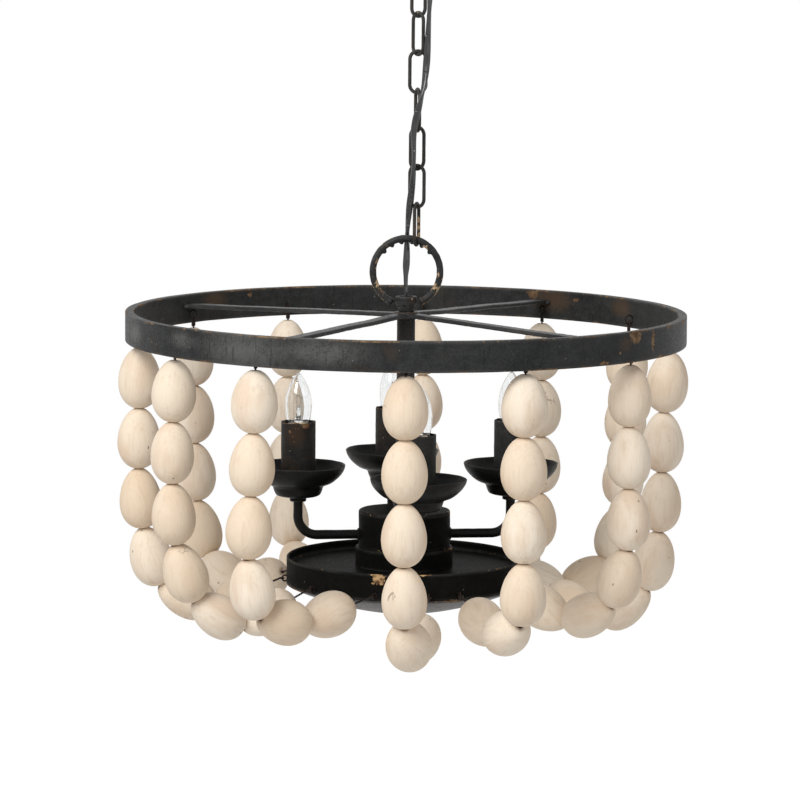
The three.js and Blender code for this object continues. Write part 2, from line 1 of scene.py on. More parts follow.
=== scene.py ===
"""Looks of a beaded chandelier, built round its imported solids.

Twelve strands of wooden eggs hang from a flat iron ring and swing in to a round iron pan. Four candle lights
stand on arms round a drum in the middle, and the frame hangs on a chain from a ceiling canopy. Everything is
in metres: +Z is up, the front faces -Y, and the ceiling is at z = 0.
"""

from __future__ import annotations

import json
import logging
import math
import random
from dataclasses import dataclass, field
from enum import Enum
from typing import Callable, Optional, Sequence, Union

import bmesh
import bpy
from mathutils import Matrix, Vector, noise

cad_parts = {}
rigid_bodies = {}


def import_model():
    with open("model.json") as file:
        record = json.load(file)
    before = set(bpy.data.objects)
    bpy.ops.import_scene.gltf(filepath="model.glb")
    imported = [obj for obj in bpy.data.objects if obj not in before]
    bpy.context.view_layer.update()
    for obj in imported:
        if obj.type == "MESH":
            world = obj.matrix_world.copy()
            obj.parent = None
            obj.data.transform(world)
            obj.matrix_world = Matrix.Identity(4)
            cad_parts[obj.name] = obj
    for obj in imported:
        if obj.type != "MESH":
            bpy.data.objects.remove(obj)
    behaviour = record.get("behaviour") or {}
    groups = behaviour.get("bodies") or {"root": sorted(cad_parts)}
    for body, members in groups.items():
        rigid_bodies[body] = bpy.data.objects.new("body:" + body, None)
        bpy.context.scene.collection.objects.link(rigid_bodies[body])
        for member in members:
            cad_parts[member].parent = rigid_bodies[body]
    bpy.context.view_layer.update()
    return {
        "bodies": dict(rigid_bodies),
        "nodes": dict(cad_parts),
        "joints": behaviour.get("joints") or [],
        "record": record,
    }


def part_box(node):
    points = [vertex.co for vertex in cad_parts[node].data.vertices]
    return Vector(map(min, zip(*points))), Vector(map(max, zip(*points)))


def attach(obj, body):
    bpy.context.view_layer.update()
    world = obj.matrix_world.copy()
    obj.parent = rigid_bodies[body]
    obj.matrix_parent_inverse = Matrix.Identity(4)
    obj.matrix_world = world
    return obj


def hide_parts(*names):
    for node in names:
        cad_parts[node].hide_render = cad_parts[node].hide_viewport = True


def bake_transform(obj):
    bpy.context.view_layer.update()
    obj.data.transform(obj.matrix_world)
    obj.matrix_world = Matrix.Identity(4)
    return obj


LOG = logging.getLogger("chandelier")
DENT_SEED = 1
Colour = tuple[float, float, float]
Material = bpy.types.Material
Node = bpy.types.Node
NodeTree = bpy.types.NodeTree
Socket = bpy.types.NodeSocket
Value = Union[float, Socket]
OutlinePoint = tuple[float, float, float]


class Body(str, Enum):
    """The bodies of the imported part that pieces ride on."""

    CEILING = "ceiling"
    FRAME = "frame"


class Slot(str, Enum):
    """The record's material slots."""

    DARK_IRON = "dark_iron"
    BROWN_IRON = "brown_iron"
    CHAIN_IRON = "chain_iron"
    WOOD = "pale_wood"
    CORD = "black_cord"
    SOCKET = "socket_cream"
    GLASS = "bulb_glass"


# Shader building


class Sketch:
    """Adds shader nodes to one tree with short calls."""

    def __init__(self, tree: NodeTree) -> None:
        """Starts on an empty tree.

        Args:
            tree: The material's or group's node tree.
        """
        self.tree = tree

    def put(self, socket: Socket, value: object) -> None:
        """Links a socket, or sets the value that it starts from.

        Args:
            socket: The input to feed.
            value: Another node's output, or a plain value.
        """
        if isinstance(value, Socket):
            self.tree.links.new(value, socket)
        else:
            socket.default_value = value

    def node(self, kind: str, inputs: Optional[dict] = None, **settings: object) -> Node:
        """Adds one node.

        Args:
            kind: Blender's name of the node type, without "ShaderNode".
            inputs: Values or outputs by input name or number.
            settings: The node's own settings.

        Returns:
            The new node.
        """
        made = self.tree.nodes.new("ShaderNode" + kind)
        for name, value in settings.items():
            setattr(made, name, value)
        self.feed(made, inputs or {})
        return made

    def feed(self, node: Node, inputs: dict) -> None:
        """Feeds several inputs of a node by name or number."""
        for key, value in inputs.items():
            self.put(node.inputs[key], value)

    def math(self, operation: str, a: Value, b: Value = 0.0, clamp: bool = False) -> Socket:
        """Returns the result of one Math node."""
        made = self.node("Math", {0: a, 1: b}, operation=operation, use_clamp=clamp)
        return made.outputs[0]

    def plus(self, a: Value, b: Value, clamp: bool = False) -> Socket:
        """Returns a sum, kept from 0 to 1 if asked."""
        return self.math("ADD", a, b, clamp)

    def minus(self, a: Value, b: Value) -> Socket:
        """Returns the first value less the second."""
        return self.math("SUBTRACT", a, b)

    def times(self, a: Value, b: Value) -> Socket:
        """Returns a product."""
        return self.math("MULTIPLY", a, b)

    def ramp(
        self, value: Value, low: float, high: float, to_low: float = 0.0, to_high: float = 1.0
    ) -> Socket:
        """Returns a value eased from one range to another."""
        inputs = {"Value": value, "From Min": low, "From Max": high, "To Min": to_low, "To Max": to_high}
        return self.node("MapRange", inputs, interpolation_type="SMOOTHSTEP").outputs["Result"]

    def noise(
        self, at: Value, scale: float, detail: float = 4.0, rough: float = 0.55, bend: float = 0.0
    ) -> Socket:
        """Returns a cloud of values round 0.5."""
        inputs = {"Vector": at, "Scale": scale, "Detail": detail, "Roughness": rough, "Distortion": bend}
        return self.node("TexNoise", inputs).outputs["Fac"]

    def stretched(
        self, at: Value, scale: Sequence[float], shift: Sequence[float] = (0.0, 0.0, 0.0)
    ) -> Socket:
        """Returns coordinates stretched and shifted along the axes."""
        inputs = {"Vector": at, "Scale": tuple(scale), "Location": tuple(shift)}
        return self.node("Mapping", inputs).outputs["Vector"]

    def blend(self, share: Value, first: object, second: object) -> Socket:
        """Returns the mix of two colours.

        Args:
            share: How much of the second there is.
            first: A colour or an output.
            second: A colour or an output.

        Returns:
            The mixed colour.
        """
        made = self.node("Mix", data_type="RGBA")
        self.put(made.inputs[0], share)
        self.put(made.inputs[6], first if isinstance(first, Socket) else (*first, 1.0))
        self.put(made.inputs[7], second if isinstance(second, Socket) else (*second, 1.0))
        return made.outputs[2]

    def bump(self, strength: float, depth: float, height: Socket) -> Socket:
        """Returns a normal that a height tips, by a depth in metres."""
        inputs = {"Strength": strength, "Distance": depth, "Height": height}
        return self.node("Bump", inputs).outputs["Normal"]

    def value_of(self, name: str, output: str = "Fac") -> Socket:
        """Returns a point value stored in the mesh."""
        return self.node("Attribute", attribute_name=name).outputs[output]

    def group(self, tree: NodeTree, **inputs: object) -> Node:
        """Places a node group and feeds its inputs by name.

        Args:
            tree: The node group.
            inputs: Values or outputs by input name.

        Returns:
            The node that holds it.
        """
        made = self.node("Group", node_tree=tree)
        self.feed(made, inputs)
        return made


def new_group(name: str, inputs: dict[str, str], outputs: dict[str, str]) -> tuple[Sketch, Node, Node]:
    """Starts a shader node group.

    Args:
        name: The group's name.
        inputs: "Float" or "Vector" by input name.
        outputs: "Float" or "Vector" by output name.

    Returns:
        The group's sketch, and its input and output nodes.
    """
    tree = bpy.data.node_groups.new(name, "ShaderNodeTree")
    for label, kind in inputs.items():
        tree.interface.new_socket(label, in_out="INPUT", socket_type="NodeSocket" + kind)
    for label, kind in outputs.items():
        tree.interface.new_socket(label, in_out="OUTPUT", socket_type="NodeSocket" + kind)
    sketch = Sketch(tree)
    start = tree.nodes.new("NodeGroupInput")
    end = tree.nodes.new("NodeGroupOutput")
    return sketch, start, end


class Effects:
    """The shader node groups that several finishes share."""

    def __init__(self) -> None:
        """Builds each group once."""
        self.clouds = self._clouds()
        self.patch = self._patch()
        self.rub = self._rub()
        self.specks = self._specks()

    @staticmethod
    def _clouds() -> NodeTree:
        """Broad clouds, fine grit and a height for paint that was brushed and rubbed by hand.

        Returns:
            The node group.
        """
        sketch, start, end = new_group(
            "brushed_clouds",
            {"At": "Vector", "Spread": "Float"},
            {"Cloud": "Float", "Grit": "Float", "Height": "Float"},
        )
        inputs = {0: start.outputs["At"], "Scale": start.outputs["Spread"]}
        at = sketch.node("VectorMath", inputs, operation="SCALE").outputs[0]
        broad = sketch.noise(at, 9.0, 5.0, 0.6, 0.4)
        strokes = sketch.noise(sketch.stretched(at, (30.0, 30.0, 110.0)), 1.0, 4.0, 0.6)
        cloud = sketch.plus(sketch.times(broad, 0.68), sketch.times(strokes, 0.32))
        grit = sketch.noise(at, 420.0, 3.0, 0.7)
        dents = sketch.noise(at, 60.0, 3.0, 0.5)
        height = sketch.plus(sketch.times(grit, 0.35), sketch.times(dents, 0.65))
        sketch.feed(end, {"Cloud": sketch.ramp(cloud, 0.33, 0.68), "Grit": grit, "Height": height})
        return sketch.tree

    @staticmethod
    def _patch() -> NodeTree:
        """One ragged patch round a point, such as a chip in the paint or a painted highlight.

        Returns:
            The node group.
        """
        sketch, start, end = new_group(
            "ragged_patch",
            {"At": "Vector", "Centre": "Vector", "Stretch": "Vector", "Reach": "Float", "Softness": "Float"},
            {"Mask": "Float"},
        )
        ends = {0: start.outputs["At"], 1: start.outputs["Centre"]}
        away = sketch.node("VectorMath", ends, operation="SUBTRACT").outputs[0]
        ends = {0: away, 1: start.outputs["Stretch"]}
        away = sketch.node("VectorMath", ends, operation="DIVIDE").outputs[0]
        far = sketch.node("VectorMath", {0: away}, operation="LENGTH").outputs["Value"]
        share = sketch.math("DIVIDE", far, start.outputs["Reach"])
        ragged = sketch.noise(start.outputs["At"], 260.0, 5.0, 0.62)
        soft = start.outputs["Softness"]
        wander = sketch.minus(2.6, sketch.times(soft, 2.35))
        edge = sketch.plus(share, sketch.times(sketch.minus(ragged, 0.5), wander))
        full = sketch.minus(0.72, sketch.times(soft, 0.62))
        sketch.put(end.inputs["Mask"], sketch.ramp(edge, 0.92, full))
        return sketch.tree

    @staticmethod
    def _rub() -> NodeTree:
        """Where paint has gone from an edge, in short ragged lengths.

        Returns:
            The node group.
        """
        sketch, start, end = new_group(
            "edge_rub",
            {"At": "Vector", "Edge": "Float", "Amount": "Float"},
            {"Mask": "Float"},
        )
        lengths = sketch.noise(start.outputs["At"], 34.0, 4.0, 0.65)
        ragged = sketch.noise(start.outputs["At"], 330.0, 4.0, 0.6)
        where = sketch.plus(sketch.times(lengths, 0.62), sketch.times(ragged, 0.38))
        level = sketch.times(start.outputs["Edge"], start.outputs["Amount"])
        over = sketch.minus(sketch.plus(where, level), 1.0)
        sketch.put(end.inputs["Mask"], sketch.ramp(over, 0.0, 0.05))
        return sketch.tree

    @staticmethod
    def _specks() -> NodeTree:
        """Scattered round specks, a share of the cells having one.

        Returns:
            The node group.
        """
        sketch, start, end = new_group(
            "scattered_specks",
            {"At": "Vector", "Cells": "Float", "Size": "Float", "Share": "Float"},
            {"Mask": "Float"},
        )
        inputs = {"Vector": start.outputs["At"], "Scale": start.outputs["Cells"], "Randomness": 1.0}
        cells = sketch.node("TexVoronoi", inputs, feature="F1")
        shade = sketch.node("SeparateColor", {0: cells.outputs["Color"]}).outputs[0]
        chosen = sketch.math("LESS_THAN", shade, start.outputs["Share"])
        near = sketch.math("LESS_THAN", cells.outputs["Distance"], start.outputs["Size"])
        sketch.put(end.inputs["Mask"], sketch.times(chosen, near))
        return sketch.tree


@dataclass(frozen=True)
class Patch:
    """A chip, a stain or a painted highlight at one place of the object.

    Attributes:
        centre: Its middle, in metres.
        reach: How far it spreads, in metres.
        stretch: How much further it spreads along each axis.
        softness: 0 for a ragged edge, 1 for one that fades out.
    """

    centre: Colour
    reach: float
    stretch: Colour = (1.0, 1.0, 1.0)
    softness: float = 0.0


@dataclass(frozen=True)
class IronFinish:
    """Hand-painted iron: black-grey paint with brown clouds, pale specks and bare or rusty chips, and any
    painted highlights.
    """

    name: str
    dark: Colour = (0.008, 0.0084, 0.0084)
    light: Colour = (0.03, 0.031, 0.032)
    brown: Colour = (0.04, 0.027, 0.018)
    brown_share: float = 0.35
    tan: Colour = (0.24, 0.15, 0.078)
    rust: Colour = (0.085, 0.046, 0.026)
    stain: Colour = (0.066, 0.042, 0.026)
    edge: Colour = (0.085, 0.084, 0.08)
    edge_share: float = 0.45
    gloss: float = 0.36
    dull: float = 0.58
    rub: float = 0.44
    speck_share: float = 0.05
    relief: float = 0.00035
    shine: float = 0.12
    # Painted highlight: the colour that the highlight patches lay into the paint.
    painted_sheen: Colour = (0.088, 0.088, 0.083)
    patches: tuple[Patch, ...] = ()
    stains: tuple[Patch, ...] = ()
    # Patches of painted highlight, where the key light falls.
    painted_sheens: tuple[Patch, ...] = ()

    def material(self, effects: Effects) -> Material:
        """Makes the material.

        Args:
            effects: The shared node groups.

        Returns:
            The finished material.
        """
        material, sketch, surface = new_material(self.name)
        at = sketch.node("TexCoord").outputs["Object"]
        clouds = sketch.group(effects.clouds, At=at, Spread=1.0)
        mottle = sketch.ramp(sketch.noise(at, 74.0, 6.0, 0.72), 0.36, 0.66)
        grain = sketch.ramp(sketch.noise(at, 480.0, 4.0, 0.7), 0.34, 0.68)
        strokes = sketch.noise(sketch.stretched(at, (1.0, 1.0, 0.09)), 330.0, 4.0, 0.65)
        strokes = sketch.ramp(strokes, 0.54, 0.72)
        share = sketch.times(clouds.outputs["Cloud"], 0.32)
        share = sketch.plus(share, sketch.times(mottle, 0.3))
        share = sketch.plus(share, sketch.times(grain, 0.38))
        colour = sketch.blend(share, self.dark, self.light)
        # Painted highlights: each patch lightens the paint's colour, more on its lighter mottles.
        for patch in self.painted_sheens:
            mask = sketch.times(self._mask(sketch, effects, at, patch), sketch.ramp(share, -0.3, 0.75))
            colour = sketch.blend(mask, colour, self.painted_sheen)
        colour = sketch.blend(sketch.times(strokes, 0.55), colour, self.dark)
        browning = sketch.ramp(sketch.noise(at, 21.0, 5.0, 0.65), 0.66 - 0.3 * self.brown_share, 0.74)
        colour = sketch.blend(sketch.times(browning, min(1.0, 1.6 * self.brown_share)), colour, self.brown)
        for stain in self.stains:
            mask = self._mask(sketch, effects, at, stain)
            colour = sketch.blend(sketch.times(mask, 0.75), colour, self.stain)
        specks = sketch.group(effects.specks, At=at, Cells=170.0, Size=0.12, Share=self.speck_share)
        colour = sketch.blend(sketch.times(specks.outputs["Mask"], 0.4), colour, (0.3, 0.28, 0.25))
        wear = sketch.value_of("wear")
        polished = sketch.times(sketch.times(wear, clouds.outputs["Cloud"]), self.edge_share)
        colour = sketch.blend(polished, colour, self.edge)
        rub = sketch.group(effects.rub, At=at, Edge=wear, Amount=self.rub).outputs["Mask"]
        bare = rub
        for patch in self.patches:
            bare = sketch.math("MAXIMUM", bare, self._mask(sketch, effects, at, patch))
        tone = sketch.ramp(sketch.noise(at, 150.0, 4.0, 0.6), 0.38, 0.62)
        colour = sketch.blend(bare, colour, sketch.blend(tone, self.rust, self.tan))
        rough = sketch.ramp(clouds.outputs["Grit"], 0.3, 0.7, self.gloss, self.dull)
        rough = sketch.plus(rough, sketch.times(bare, 0.3), clamp=True)
        height = sketch.minus(clouds.outputs["Height"], sketch.times(bare, 0.25))
        bump = sketch.bump(0.8, self.relief, height)
        inputs = {"Base Color": colour, "Roughness": rough, "Specular IOR Level": self.shine, "Normal": bump}
        sketch.feed(surface, inputs)
        return material

    @staticmethod
    def _mask(sketch: Sketch, effects: Effects, at: Socket, patch: Patch) -> Socket:
        """Returns the mask of one patch."""
        placed = sketch.group(
            effects.patch, At=at, Centre=patch.centre, Stretch=patch.stretch, Reach=patch.reach,
            Softness=patch.softness,
        )
        return placed.outputs["Mask"]


@dataclass(frozen=True)
class WoodFinish:
    """Bare pale wood under a chalky wash, with fine grain, end stains, nicks and cracks, and painted shade at
    the ends and in each hole.
    """

    name: str
    pale: Colour = (0.8, 0.7, 0.575)
    tan: Colour = (0.68, 0.535, 0.385)
    pink: Colour = (0.66, 0.505, 0.375)
    grain: Colour = (0.46, 0.315, 0.195)
    # Colour of the ends: an end stain that also serves as painted shade where the eggs meet.
    stain: Colour = (0.36, 0.2, 0.115)
    # Dark colour of nicks, pores and cracks, also used as painted shade on the hole walls.
    mark_and_hole_shade: Colour = (0.1, 0.058, 0.03)
    relief: float = 0.0003
    shine: float = 0.2

    def material(self, effects: Effects) -> Material:
        """Makes the material.

        Args:
            effects: The shared node groups.

        Returns:
            The finished material.
        """
        material, sketch, surface = new_material(self.name)
        at = sketch.value_of("grain", "Vector")
        tint = sketch.value_of("tint")
        ends = sketch.value_of("ends")
        blotch = sketch.ramp(sketch.noise(sketch.stretched(at, (1.0, 1.0, 0.45)), 34.0, 3.0, 0.5), 0.44, 0.7)
        colour = sketch.blend(sketch.times(blotch, 0.7), self.pale, self.pink)
        colour = sketch.blend(sketch.times(tint, 0.75), colour, self.tan)

        across = sketch.stretched(at, (1.0, 1.0, 0.0))
        wander = sketch.times(sketch.noise(sketch.stretched(at, (1.0, 1.0, 0.3)), 40.0, 2.0), 0.0035)
        radius = sketch.node("VectorMath", {0: across}, operation="LENGTH").outputs["Value"]
        rings = sketch.math("SINE", sketch.times(sketch.plus(radius, wander), 2100.0))
        rings = sketch.ramp(rings, 0.1, 1.0)
        fibre = sketch.noise(sketch.stretched(at, (1.0, 1.0, 0.035)), 900.0, 3.0, 0.6)
        streak = sketch.ramp(sketch.noise(sketch.stretched(at, (1.0, 1.0, 0.06)), 210.0, 4.0, 0.6), 0.5, 0.72)
        lines = sketch.plus(sketch.times(rings, 0.04), sketch.times(streak, 0.2))
        lines = sketch.plus(lines, sketch.times(sketch.ramp(fibre, 0.42, 0.75), 0.1))
        colour = sketch.blend(lines, colour, self.grain)

        # Darker brown towards each end: an end stain, and painted shade in the creases where the eggs meet.
        end_stain_and_shade = sketch.plus(ends, sketch.times(sketch.noise(at, 190.0, 3.0), 0.5))
        colour = sketch.blend(sketch.ramp(end_stain_and_shade, 0.78, 1.35), colour, self.stain)

        nicks_at = sketch.stretched(at, (1.0, 1.0, 0.42))
        nicks = sketch.group(effects.specks, At=nicks_at, Cells=66.0, Size=0.055, Share=0.45).outputs["Mask"]
        pores = sketch.group(effects.specks, At=nicks_at, Cells=210.0, Size=0.075, Share=0.07).outputs["Mask"]
        inputs = {"Vector": sketch.stretched(at, (1.0, 1.0, 0.5)), "Scale": 95.0}
        crack = sketch.node("TexVoronoi", inputs, feature="DISTANCE_TO_EDGE").outputs["Distance"]
        crack = sketch.ramp(crack, 0.035, 0.012)
        cracked = sketch.ramp(sketch.noise(at, 27.0, 2.0), 0.7, 0.73)
        crack = sketch.times(crack, cracked)
        marks = sketch.math("MAXIMUM", nicks, sketch.times(sketch.math("MAXIMUM", pores, crack), 0.7))
        colour = sketch.blend(sketch.times(marks, 0.75), colour, self.mark_and_hole_shade)
        # Painted shade in each hole: its walls take the dark colour of the nicks.
        hole = sketch.value_of("hole")
        colour = sketch.blend(sketch.ramp(hole, 0.3, 0.9), colour, self.mark_and_hole_shade)
        rough = sketch.ramp(fibre, 0.3, 0.7, 0.58, 0.74)
        height = sketch.minus(sketch.times(fibre, 0.3), marks)
        height = sketch.minus(height, sketch.times(lines, 0.8))
        bump = sketch.bump(0.7, self.relief, height)
        inputs = {"Base Color": colour, "Roughness": rough, "Specular IOR Level": self.shine, "Normal": bump}
        sketch.feed(surface, inputs)
        return material


@dataclass(frozen=True)
class PlainFinish:
    """A plain manufactured surface, with slight clouds, grit and handling marks."""

    name: str
    base: Colour
    worn: Colour
    gloss: float
    dull: float
    metallic: float = 0.0
    coat: float = 0.0
    relief: float = 0.00008
    spread: float = 2.5

    def material(self, effects: Effects) -> Material:
        """Makes the material.

        Args:
            effects: The shared node groups.

        Returns:
            The finished material.
        """
        material, sketch, surface = new_material(self.name)
        at = sketch.node("TexCoord").outputs["Object"]
        clouds = sketch.group(effects.clouds, At=at, Spread=self.spread)
        rub = sketch.group(effects.rub, At=at, Edge=sketch.value_of("wear"), Amount=0.6).outputs["Mask"]
        share = sketch.plus(sketch.times(clouds.outputs["Cloud"], 0.45), rub, clamp=True)
        sketch.feed(surface, {
            "Base Color": sketch.blend(share, self.base, self.worn),
            "Roughness": sketch.ramp(clouds.outputs["Grit"], 0.3, 0.7, self.gloss, self.dull),
            "Metallic": self.metallic,
            "Coat Weight": self.coat,
            "Normal": sketch.bump(0.6, self.relief, clouds.outputs["Height"]),
        })
        return material


@dataclass(frozen=True)
class GlassFinish:
    """Thin clear lamp glass with a trace of dust."""

    name: str
    clean: Colour = (0.95, 0.955, 0.955)
    dusty: Colour = (0.91, 0.915, 0.915)
    refraction: float = 1.46

    def material(self) -> Material:
        """Makes the material.

        Returns:
            The finished material.
        """
        material, sketch, surface = new_material(self.name)
        at = sketch.node("TexCoord").outputs["Object"]
        dust = sketch.noise(at, 120.0, 4.0, 0.6)
        sketch.feed(surface, {
            "Base Color": sketch.blend(sketch.ramp(dust, 0.4, 0.8), self.clean, self.dusty),
            "Roughness": sketch.ramp(dust, 0.5, 0.8, 0.0, 0.02),
            "Metallic": 0.0,
            "IOR": self.refraction,
            "Transmission Weight": 1.0,
        })
        return material


def blank(owner: Union[Material, bpy.types.World]) -> Sketch:
    """Starts a material or a world on an empty tree.

    Args:
        owner: The material or the world.

    Returns:
        The sketch of its tree.
    """
    owner.use_nodes = True
    owner.node_tree.nodes.clear()
    return Sketch(owner.node_tree)


def new_material(name: str) -> tuple[Material, Sketch, Node]:
    """Starts a material with one Principled surface.

    Args:
        name: The material's name.

    Returns:
        The material, its sketch and the Principled node.
    """
    material = bpy.data.materials.new(name)
    sketch = blank(material)
    surface = sketch.node("BsdfPrincipled")
    sketch.node("OutputMaterial", {"Surface": surface.outputs["BSDF"]})
    return material, sketch, surface


# Mesh building


@dataclass
class Skin:
    """The surface of one piece while it is built, with its point values."""

    points: list[Vector] = field(default_factory=list)
    faces: list[tuple[int, ...]] = field(default_factory=list)
    wear: list[float] = field(default_factory=list)
    extra: dict[str, list] = field(default_factory=dict)

    def add_rows(
        self,
        rows: Sequence[Sequence[Vector]],
        wear: Sequence[float],
        looped: bool = False,
        capped: bool = True,
    ) -> None:
        """Adds a sleeve of faces over rows of as many points each.

        Args:
            rows: Rings of points, each closed on itself.
            wear: How worn each row is, from 0 to 1.
            looped: Whether the last row joins the first.
            capped: Whether the two ends are closed.
        """
        first = len(self.points)
        count = len(rows[0])
        for row, value in zip(rows, wear):
            self.points.extend(row)
            self.wear.extend([value] * count)
        total = len(rows)
        for i in range(total if looped else total - 1):
            low, high = first + i * count, first + ((i + 1) % total) * count
            for j in range(count):
                k = (j + 1) % count
                self.faces.append((low + j, low + k, high + k, high + j))
        if capped and not looped:
            self.faces.append(tuple(range(first, first + count)))
            self.faces.append(tuple(range(first + (total - 1) * count, first + total * count)))

    def add(self, other: Skin) -> Skin:
        """Joins another skin to this one and returns this one.

        Args:
            other: The skin to join on; it stays as it is.

        Returns:
            This skin.
        """
        first = len(self.points)
        self.points.extend(other.points)
        self.wear.extend(other.wear)
        self.faces.extend(tuple(first + i for i in face) for face in other.faces)
        for name, values in other.extra.items():
            self.extra.setdefault(name, []).extend(values)
        return self

    def dented(self, depth: float, size: float, seed: float = 0.0) -> Skin:
        """Pushes points about, as hand-forged iron is uneven.

        Args:
            depth: How far, at most, in metres.
            size: How long a dent is, in metres.
            seed: Where in the noise it starts.

        Returns:
            This skin.
        """
        for i, point in enumerate(self.points):
            shift = noise.noise_vector(point / size + Vector((seed, seed * 1.7, 0.0)))
            self.points[i] = point + shift * depth
        return self

    def worn(self, rule: Callable[[Vector], float]) -> Skin:
        """Sets how worn each point is by a rule and returns this skin."""
        self.wear = [max(0.0, min(1.0, rule(point))) for point in self.points]
        return self

    def fused(self, voxel: float, smoothing: int = 2) -> Skin:
        """Melts crossing solids into one skin, as a weld or a casting does.

        Args:
            voxel: The size of the new faces, in metres.
            smoothing: How often the points are evened out.

        Returns:
            A new skin with no point values.
        """
        piece = self.to_object("fusing")
        merge = piece.modifiers.new("merge", "REMESH")
        merge.mode = "VOXEL"
        merge.voxel_size = voxel
        even = piece.modifiers.new("even", "SMOOTH")
        even.iterations = smoothing
        even.factor = 0.5
        depsgraph = bpy.context.evaluated_depsgraph_get()
        mesh = bpy.data.meshes.new_from_object(piece.evaluated_get(depsgraph))
        fused = Skin(
            [v.co.copy() for v in mesh.vertices], [tuple(p.vertices) for p in mesh.polygons],
            [0.0] * len(mesh.vertices),
        )
        bpy.data.objects.remove(piece)
        bpy.data.meshes.remove(mesh)
        return fused

    def to_object(self, name: str) -> bpy.types.Object:
        """Makes a smooth-shaded object with its faces turned outwards.

        Args:
            name: The object's name.

        Returns:
            The new object.
        """
        mesh = bpy.data.meshes.new(name)
        mesh.from_pydata([tuple(point) for point in self.points], [], self.faces)
        work = bmesh.new()
        work.from_mesh(mesh)
        bmesh.ops.recalc_face_normals(work, faces=work.faces)
        work.to_mesh(mesh)
        work.free()
        mesh.polygons.foreach_set("use_smooth", [True] * len(mesh.polygons))
        self._store(mesh, "wear", self.wear)
        for label, values in self.extra.items():
            self._store(mesh, label, values)
        piece = bpy.data.objects.new(name, mesh)
        bpy.context.scene.collection.objects.link(piece)
        return piece

    @staticmethod
    def _store(mesh: bpy.types.Mesh, label: str, values: Sequence) -> None:
        """Stores point values, numbers or vectors, in the mesh.

        Args:
            mesh: The mesh that keeps them.
            label: The values' name.
            values: One value for each point.
        """
        if isinstance(values[0], (int, float)):
            layer = mesh.attributes.new(label, "FLOAT", "POINT")
            layer.data.foreach_set("value", values)
        else:
            layer = mesh.attributes.new(label, "FLOAT_VECTOR", "POINT")
            layer.data.foreach_set("vector", [number for value in values for number in value])


def rounded(
    corners: Sequence[Sequence[float]],
    radius: float,
    steps: int = 3,
    spacing: float = 0.006,
    looped: bool = True,
) -> list[OutlinePoint]:
    """Rounds an outline's corners and marks them as edges that wear.

    Args:
        corners: Points as (across, up), or (across, up, radius).
        radius: The usual corner radius.
        steps: How many faces a corner gets.
        spacing: The longest stretch left without a point.
        looped: Whether the outline closes on itself.

    Returns:
        Points as (across, up, wear).
    """
    places = [Vector(corner[:2]) for corner in corners]
    reaches = [corner[2] if len(corner) > 2 else radius for corner in corners]
    outline: list[OutlinePoint] = []
    count = len(places)
    for i, place in enumerate(places):
        if not looped and i in (0, count - 1):
            _append_spaced(outline, (place.x, place.y, 0.0), spacing)
            continue
        before, after = places[i - 1] - place, places[(i + 1) % count] - place
        reach = min(reaches[i], before.length * 0.45, after.length * 0.45)
        start, end = place + before.normalized() * reach, place + after.normalized() * reach
        for step in range(steps + 1):
            t = step / steps
            point = start * (1 - t) ** 2 + place * 2 * t * (1 - t) + end * t ** 2
            if step == 0:
                lead = start + before.normalized() * min(0.0022, before.length * 0.25)
                _append_spaced(outline, (lead.x, lead.y, 0.0), spacing)
            outline.append((point.x, point.y, 1.0))
        trail = end + after.normalized() * min(0.0022, after.length * 0.25)
        outline.append((trail.x, trail.y, 0.0))
    return outline


def _append_spaced(outline: list[OutlinePoint], point: OutlinePoint, spacing: float) -> None:
    """Adds a point, with unworn points before it where the gap is long.

    Args:
        outline: The outline so far; it grows.
        point: The point to add.
        spacing: The longest stretch left without a point.
    """
    if outline:
        last = outline[-1]
        parts = int(math.hypot(point[0] - last[0], point[1] - last[1]) / spacing)
        for part in range(1, parts):
            t = part / parts
            outline.append((last[0] + (point[0] - last[0]) * t, last[1] + (point[1] - last[1]) * t, 0.0))
    outline.append(point)


def turned(outline: Sequence[OutlinePoint], sides: int, centre: Vector, looped: bool = True) -> Skin:
    """Turns an outline round a vertical axis.

    Args:
        outline: Points as (radius, height, wear).
        sides: How many faces go round.
        centre: A point on the axis; its height isn't used.
        looped: Whether the outline closes on itself; otherwise its ends are capped.

    Returns:
        The turned skin.
    """
    section = round_section(sides)
    rows = [
        [Vector((centre.x + radius * a, centre.y + radius * b, height)) for a, b in section]
        for radius, height, _ in outline
    ]
    skin = Skin()
    skin.add_rows(rows, [wear for _, _, wear in outline], looped=looped)
    return skin


def round_section(sides: int) -> list[tuple[float, float]]:
    """Returns the corners of a circle of radius 1."""
    return [(math.cos(math.tau * i / sides), math.sin(math.tau * i / sides)) for i in range(sides)]


